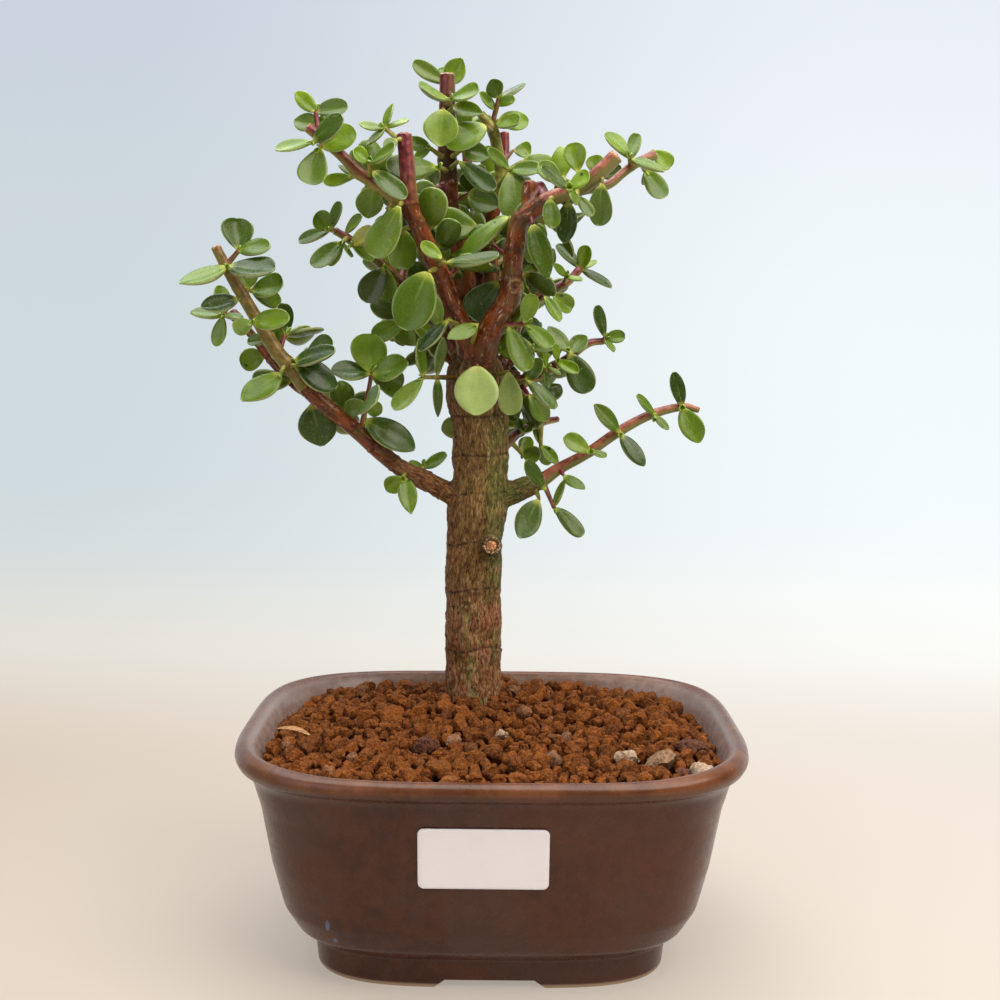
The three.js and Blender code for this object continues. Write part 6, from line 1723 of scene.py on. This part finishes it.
def stage_material():
    """The studio sheet: a cream floor that glows a little, painted light that softens the pot's shadow,
    and a glowing wall, blue high up; both painted lighter to the right.
    """
    g = Graph("sheet", Roughness=0.7, Specular_IOR_Level=0.2)
    x, y, z = g.parts(g.millimetres())
    run = g.plus(g.maths("MAXIMUM", y, 0.0), g.times(z, 2.0))
    # Painted light: the floor and the wall are made lighter to the right, where the key lamp stands.
    right = g.band(x, -420, 420)
    floor = g.mix(right, "908476", "9c958d")
    # Painted light: the wall glows in gradients, lighter to the right, cream low down and bluish higher
    # up.
    glow = g.mix(right, "9a8d80", "a8a39c")
    low = g.mix(right, "e1dacd", "faf8f2")
    middle = g.mix(right, "ced9dd", "f2f9fb")
    high = g.mix(right, "cad3de", "e9eef6")
    wall = g.mix(g.band(run, 180, 1000), low, middle)
    wall = g.mix(g.band(z, 160, 620), wall, high)
    share = g.band(run, 120, 420)
    # Painted light: the floor glows to soften the pot's shadow, and the wall glows with the painted
    # gradients.
    g.feed(g.shader.inputs["Emission Color"], g.mix(share, glow, wall))
    return g.finish(Base_Color=g.mix(share, floor, "000000"), Emission_Strength=1.0)


def make_stage():
    """A pale floor that curves up into a wall far behind."""
    half, flat, bend, top = (STAGE[key] for key in ("half_width", "flat_to", "bend", "top"))
    profile = [(-half, 0), (flat, 0)]
    for angle in np.radians(np.arange(4, 91, 4)):
        profile.append((flat + bend * math.sin(angle), bend - bend * math.cos(angle)))
    profile.append((flat + bend, top))
    points = [(x, y, z) for y, z in profile for x in (-half, half)]
    faces = [(2 * i, 2 * i + 1, 2 * i + 3, 2 * i + 2) for i in range(len(profile) - 1)]
    mesh_object("floor", points, faces, [stage_material()])


def area_light(name, location, target, size, power, colour_hex):
    light = bpy.data.lights.new(name, "AREA")
    light.shape = "RECTANGLE"
    light.size, light.size_y = size
    light.energy = power
    light.color = colour(colour_hex)[:3]
    lamp = bpy.data.objects.new(name, light)
    lamp.location = place(location)
    lamp.rotation_euler = (lamp.location - Vector(place(target))).to_track_quat("Z", "Y").to_euler()
    bpy.context.scene.collection.objects.link(lamp)


def make_lights():
    area_light("key", (360, -300, 680), (0, 0, 120), (0.6, 0.6), 6.0, "fff6ea")
    area_light("fill", (-420, -520, 380), (0, 0, 120), (0.5, 0.5), 1.2, "f4f6ff")
    area_light("top", (-100, 60, 800), (0, 0, 100), (0.7, 0.7), 6.4, "ffffff")
    world = bpy.data.worlds.new("room")
    world.use_nodes = True
    sky = world.node_tree.nodes["Background"].inputs
    sky["Color"].default_value, sky["Strength"].default_value = colour("f2f2f2"), 0.09
    bpy.context.scene.world = world


def make_camera():
    """The photo's camera, as fitted to the pot's rim, feet and front edge."""
    camera = bpy.data.cameras.new("camera")
    camera.lens, camera.sensor_width = CAMERA["lens"], CAMERA["sensor"]
    camera.clip_start, camera.clip_end = 0.05, 20
    camera.dof.use_dof = False
    holder = bpy.data.objects.new("camera", camera)
    turn = (Matrix.Rotation(math.radians(90 - CAMERA["pitch"]), 3, "X")
            @ Matrix.Rotation(math.radians(CAMERA["roll"]), 3, "Z"))
    holder.matrix_world = Matrix.Translation(Vector(place(CAMERA["place"]))) @ turn.to_4x4()
    bpy.context.scene.collection.objects.link(holder)
    bpy.context.scene.camera = holder
    bpy.context.scene.view_settings.view_transform = "Standard"


# ---------------------------------------------------------------- the scene

make_camera()
LEAVES_PLACED = []
LUCK = random_source(LEAF_SEED)
GROWN = grow(SHOOTS, [], LEAVES_PLACED, LUCK)
INNER = grow(inner_shoots(), GROWN, LEAVES_PLACED, LUCK)
make_pot(glaze_material())
make_label(paper_material())
SOIL_SKIN = soil_material()
make_soil_bed(SOIL_SKIN)
make_grains(SOIL_SKIN)
make_bark_sliver(sliver_material())
make_wood(bark_material())
make_cut_face(cut_material())
make_foliage(leaf_material(), stem_material())
PLASTIC = mesh_material()
for side in ("left", "right"):
    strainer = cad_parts[f"drain_mesh_{side}"]
    strainer.data.materials.clear()
    strainer.data.materials.append(PLASTIC)
make_stage()
make_lights()
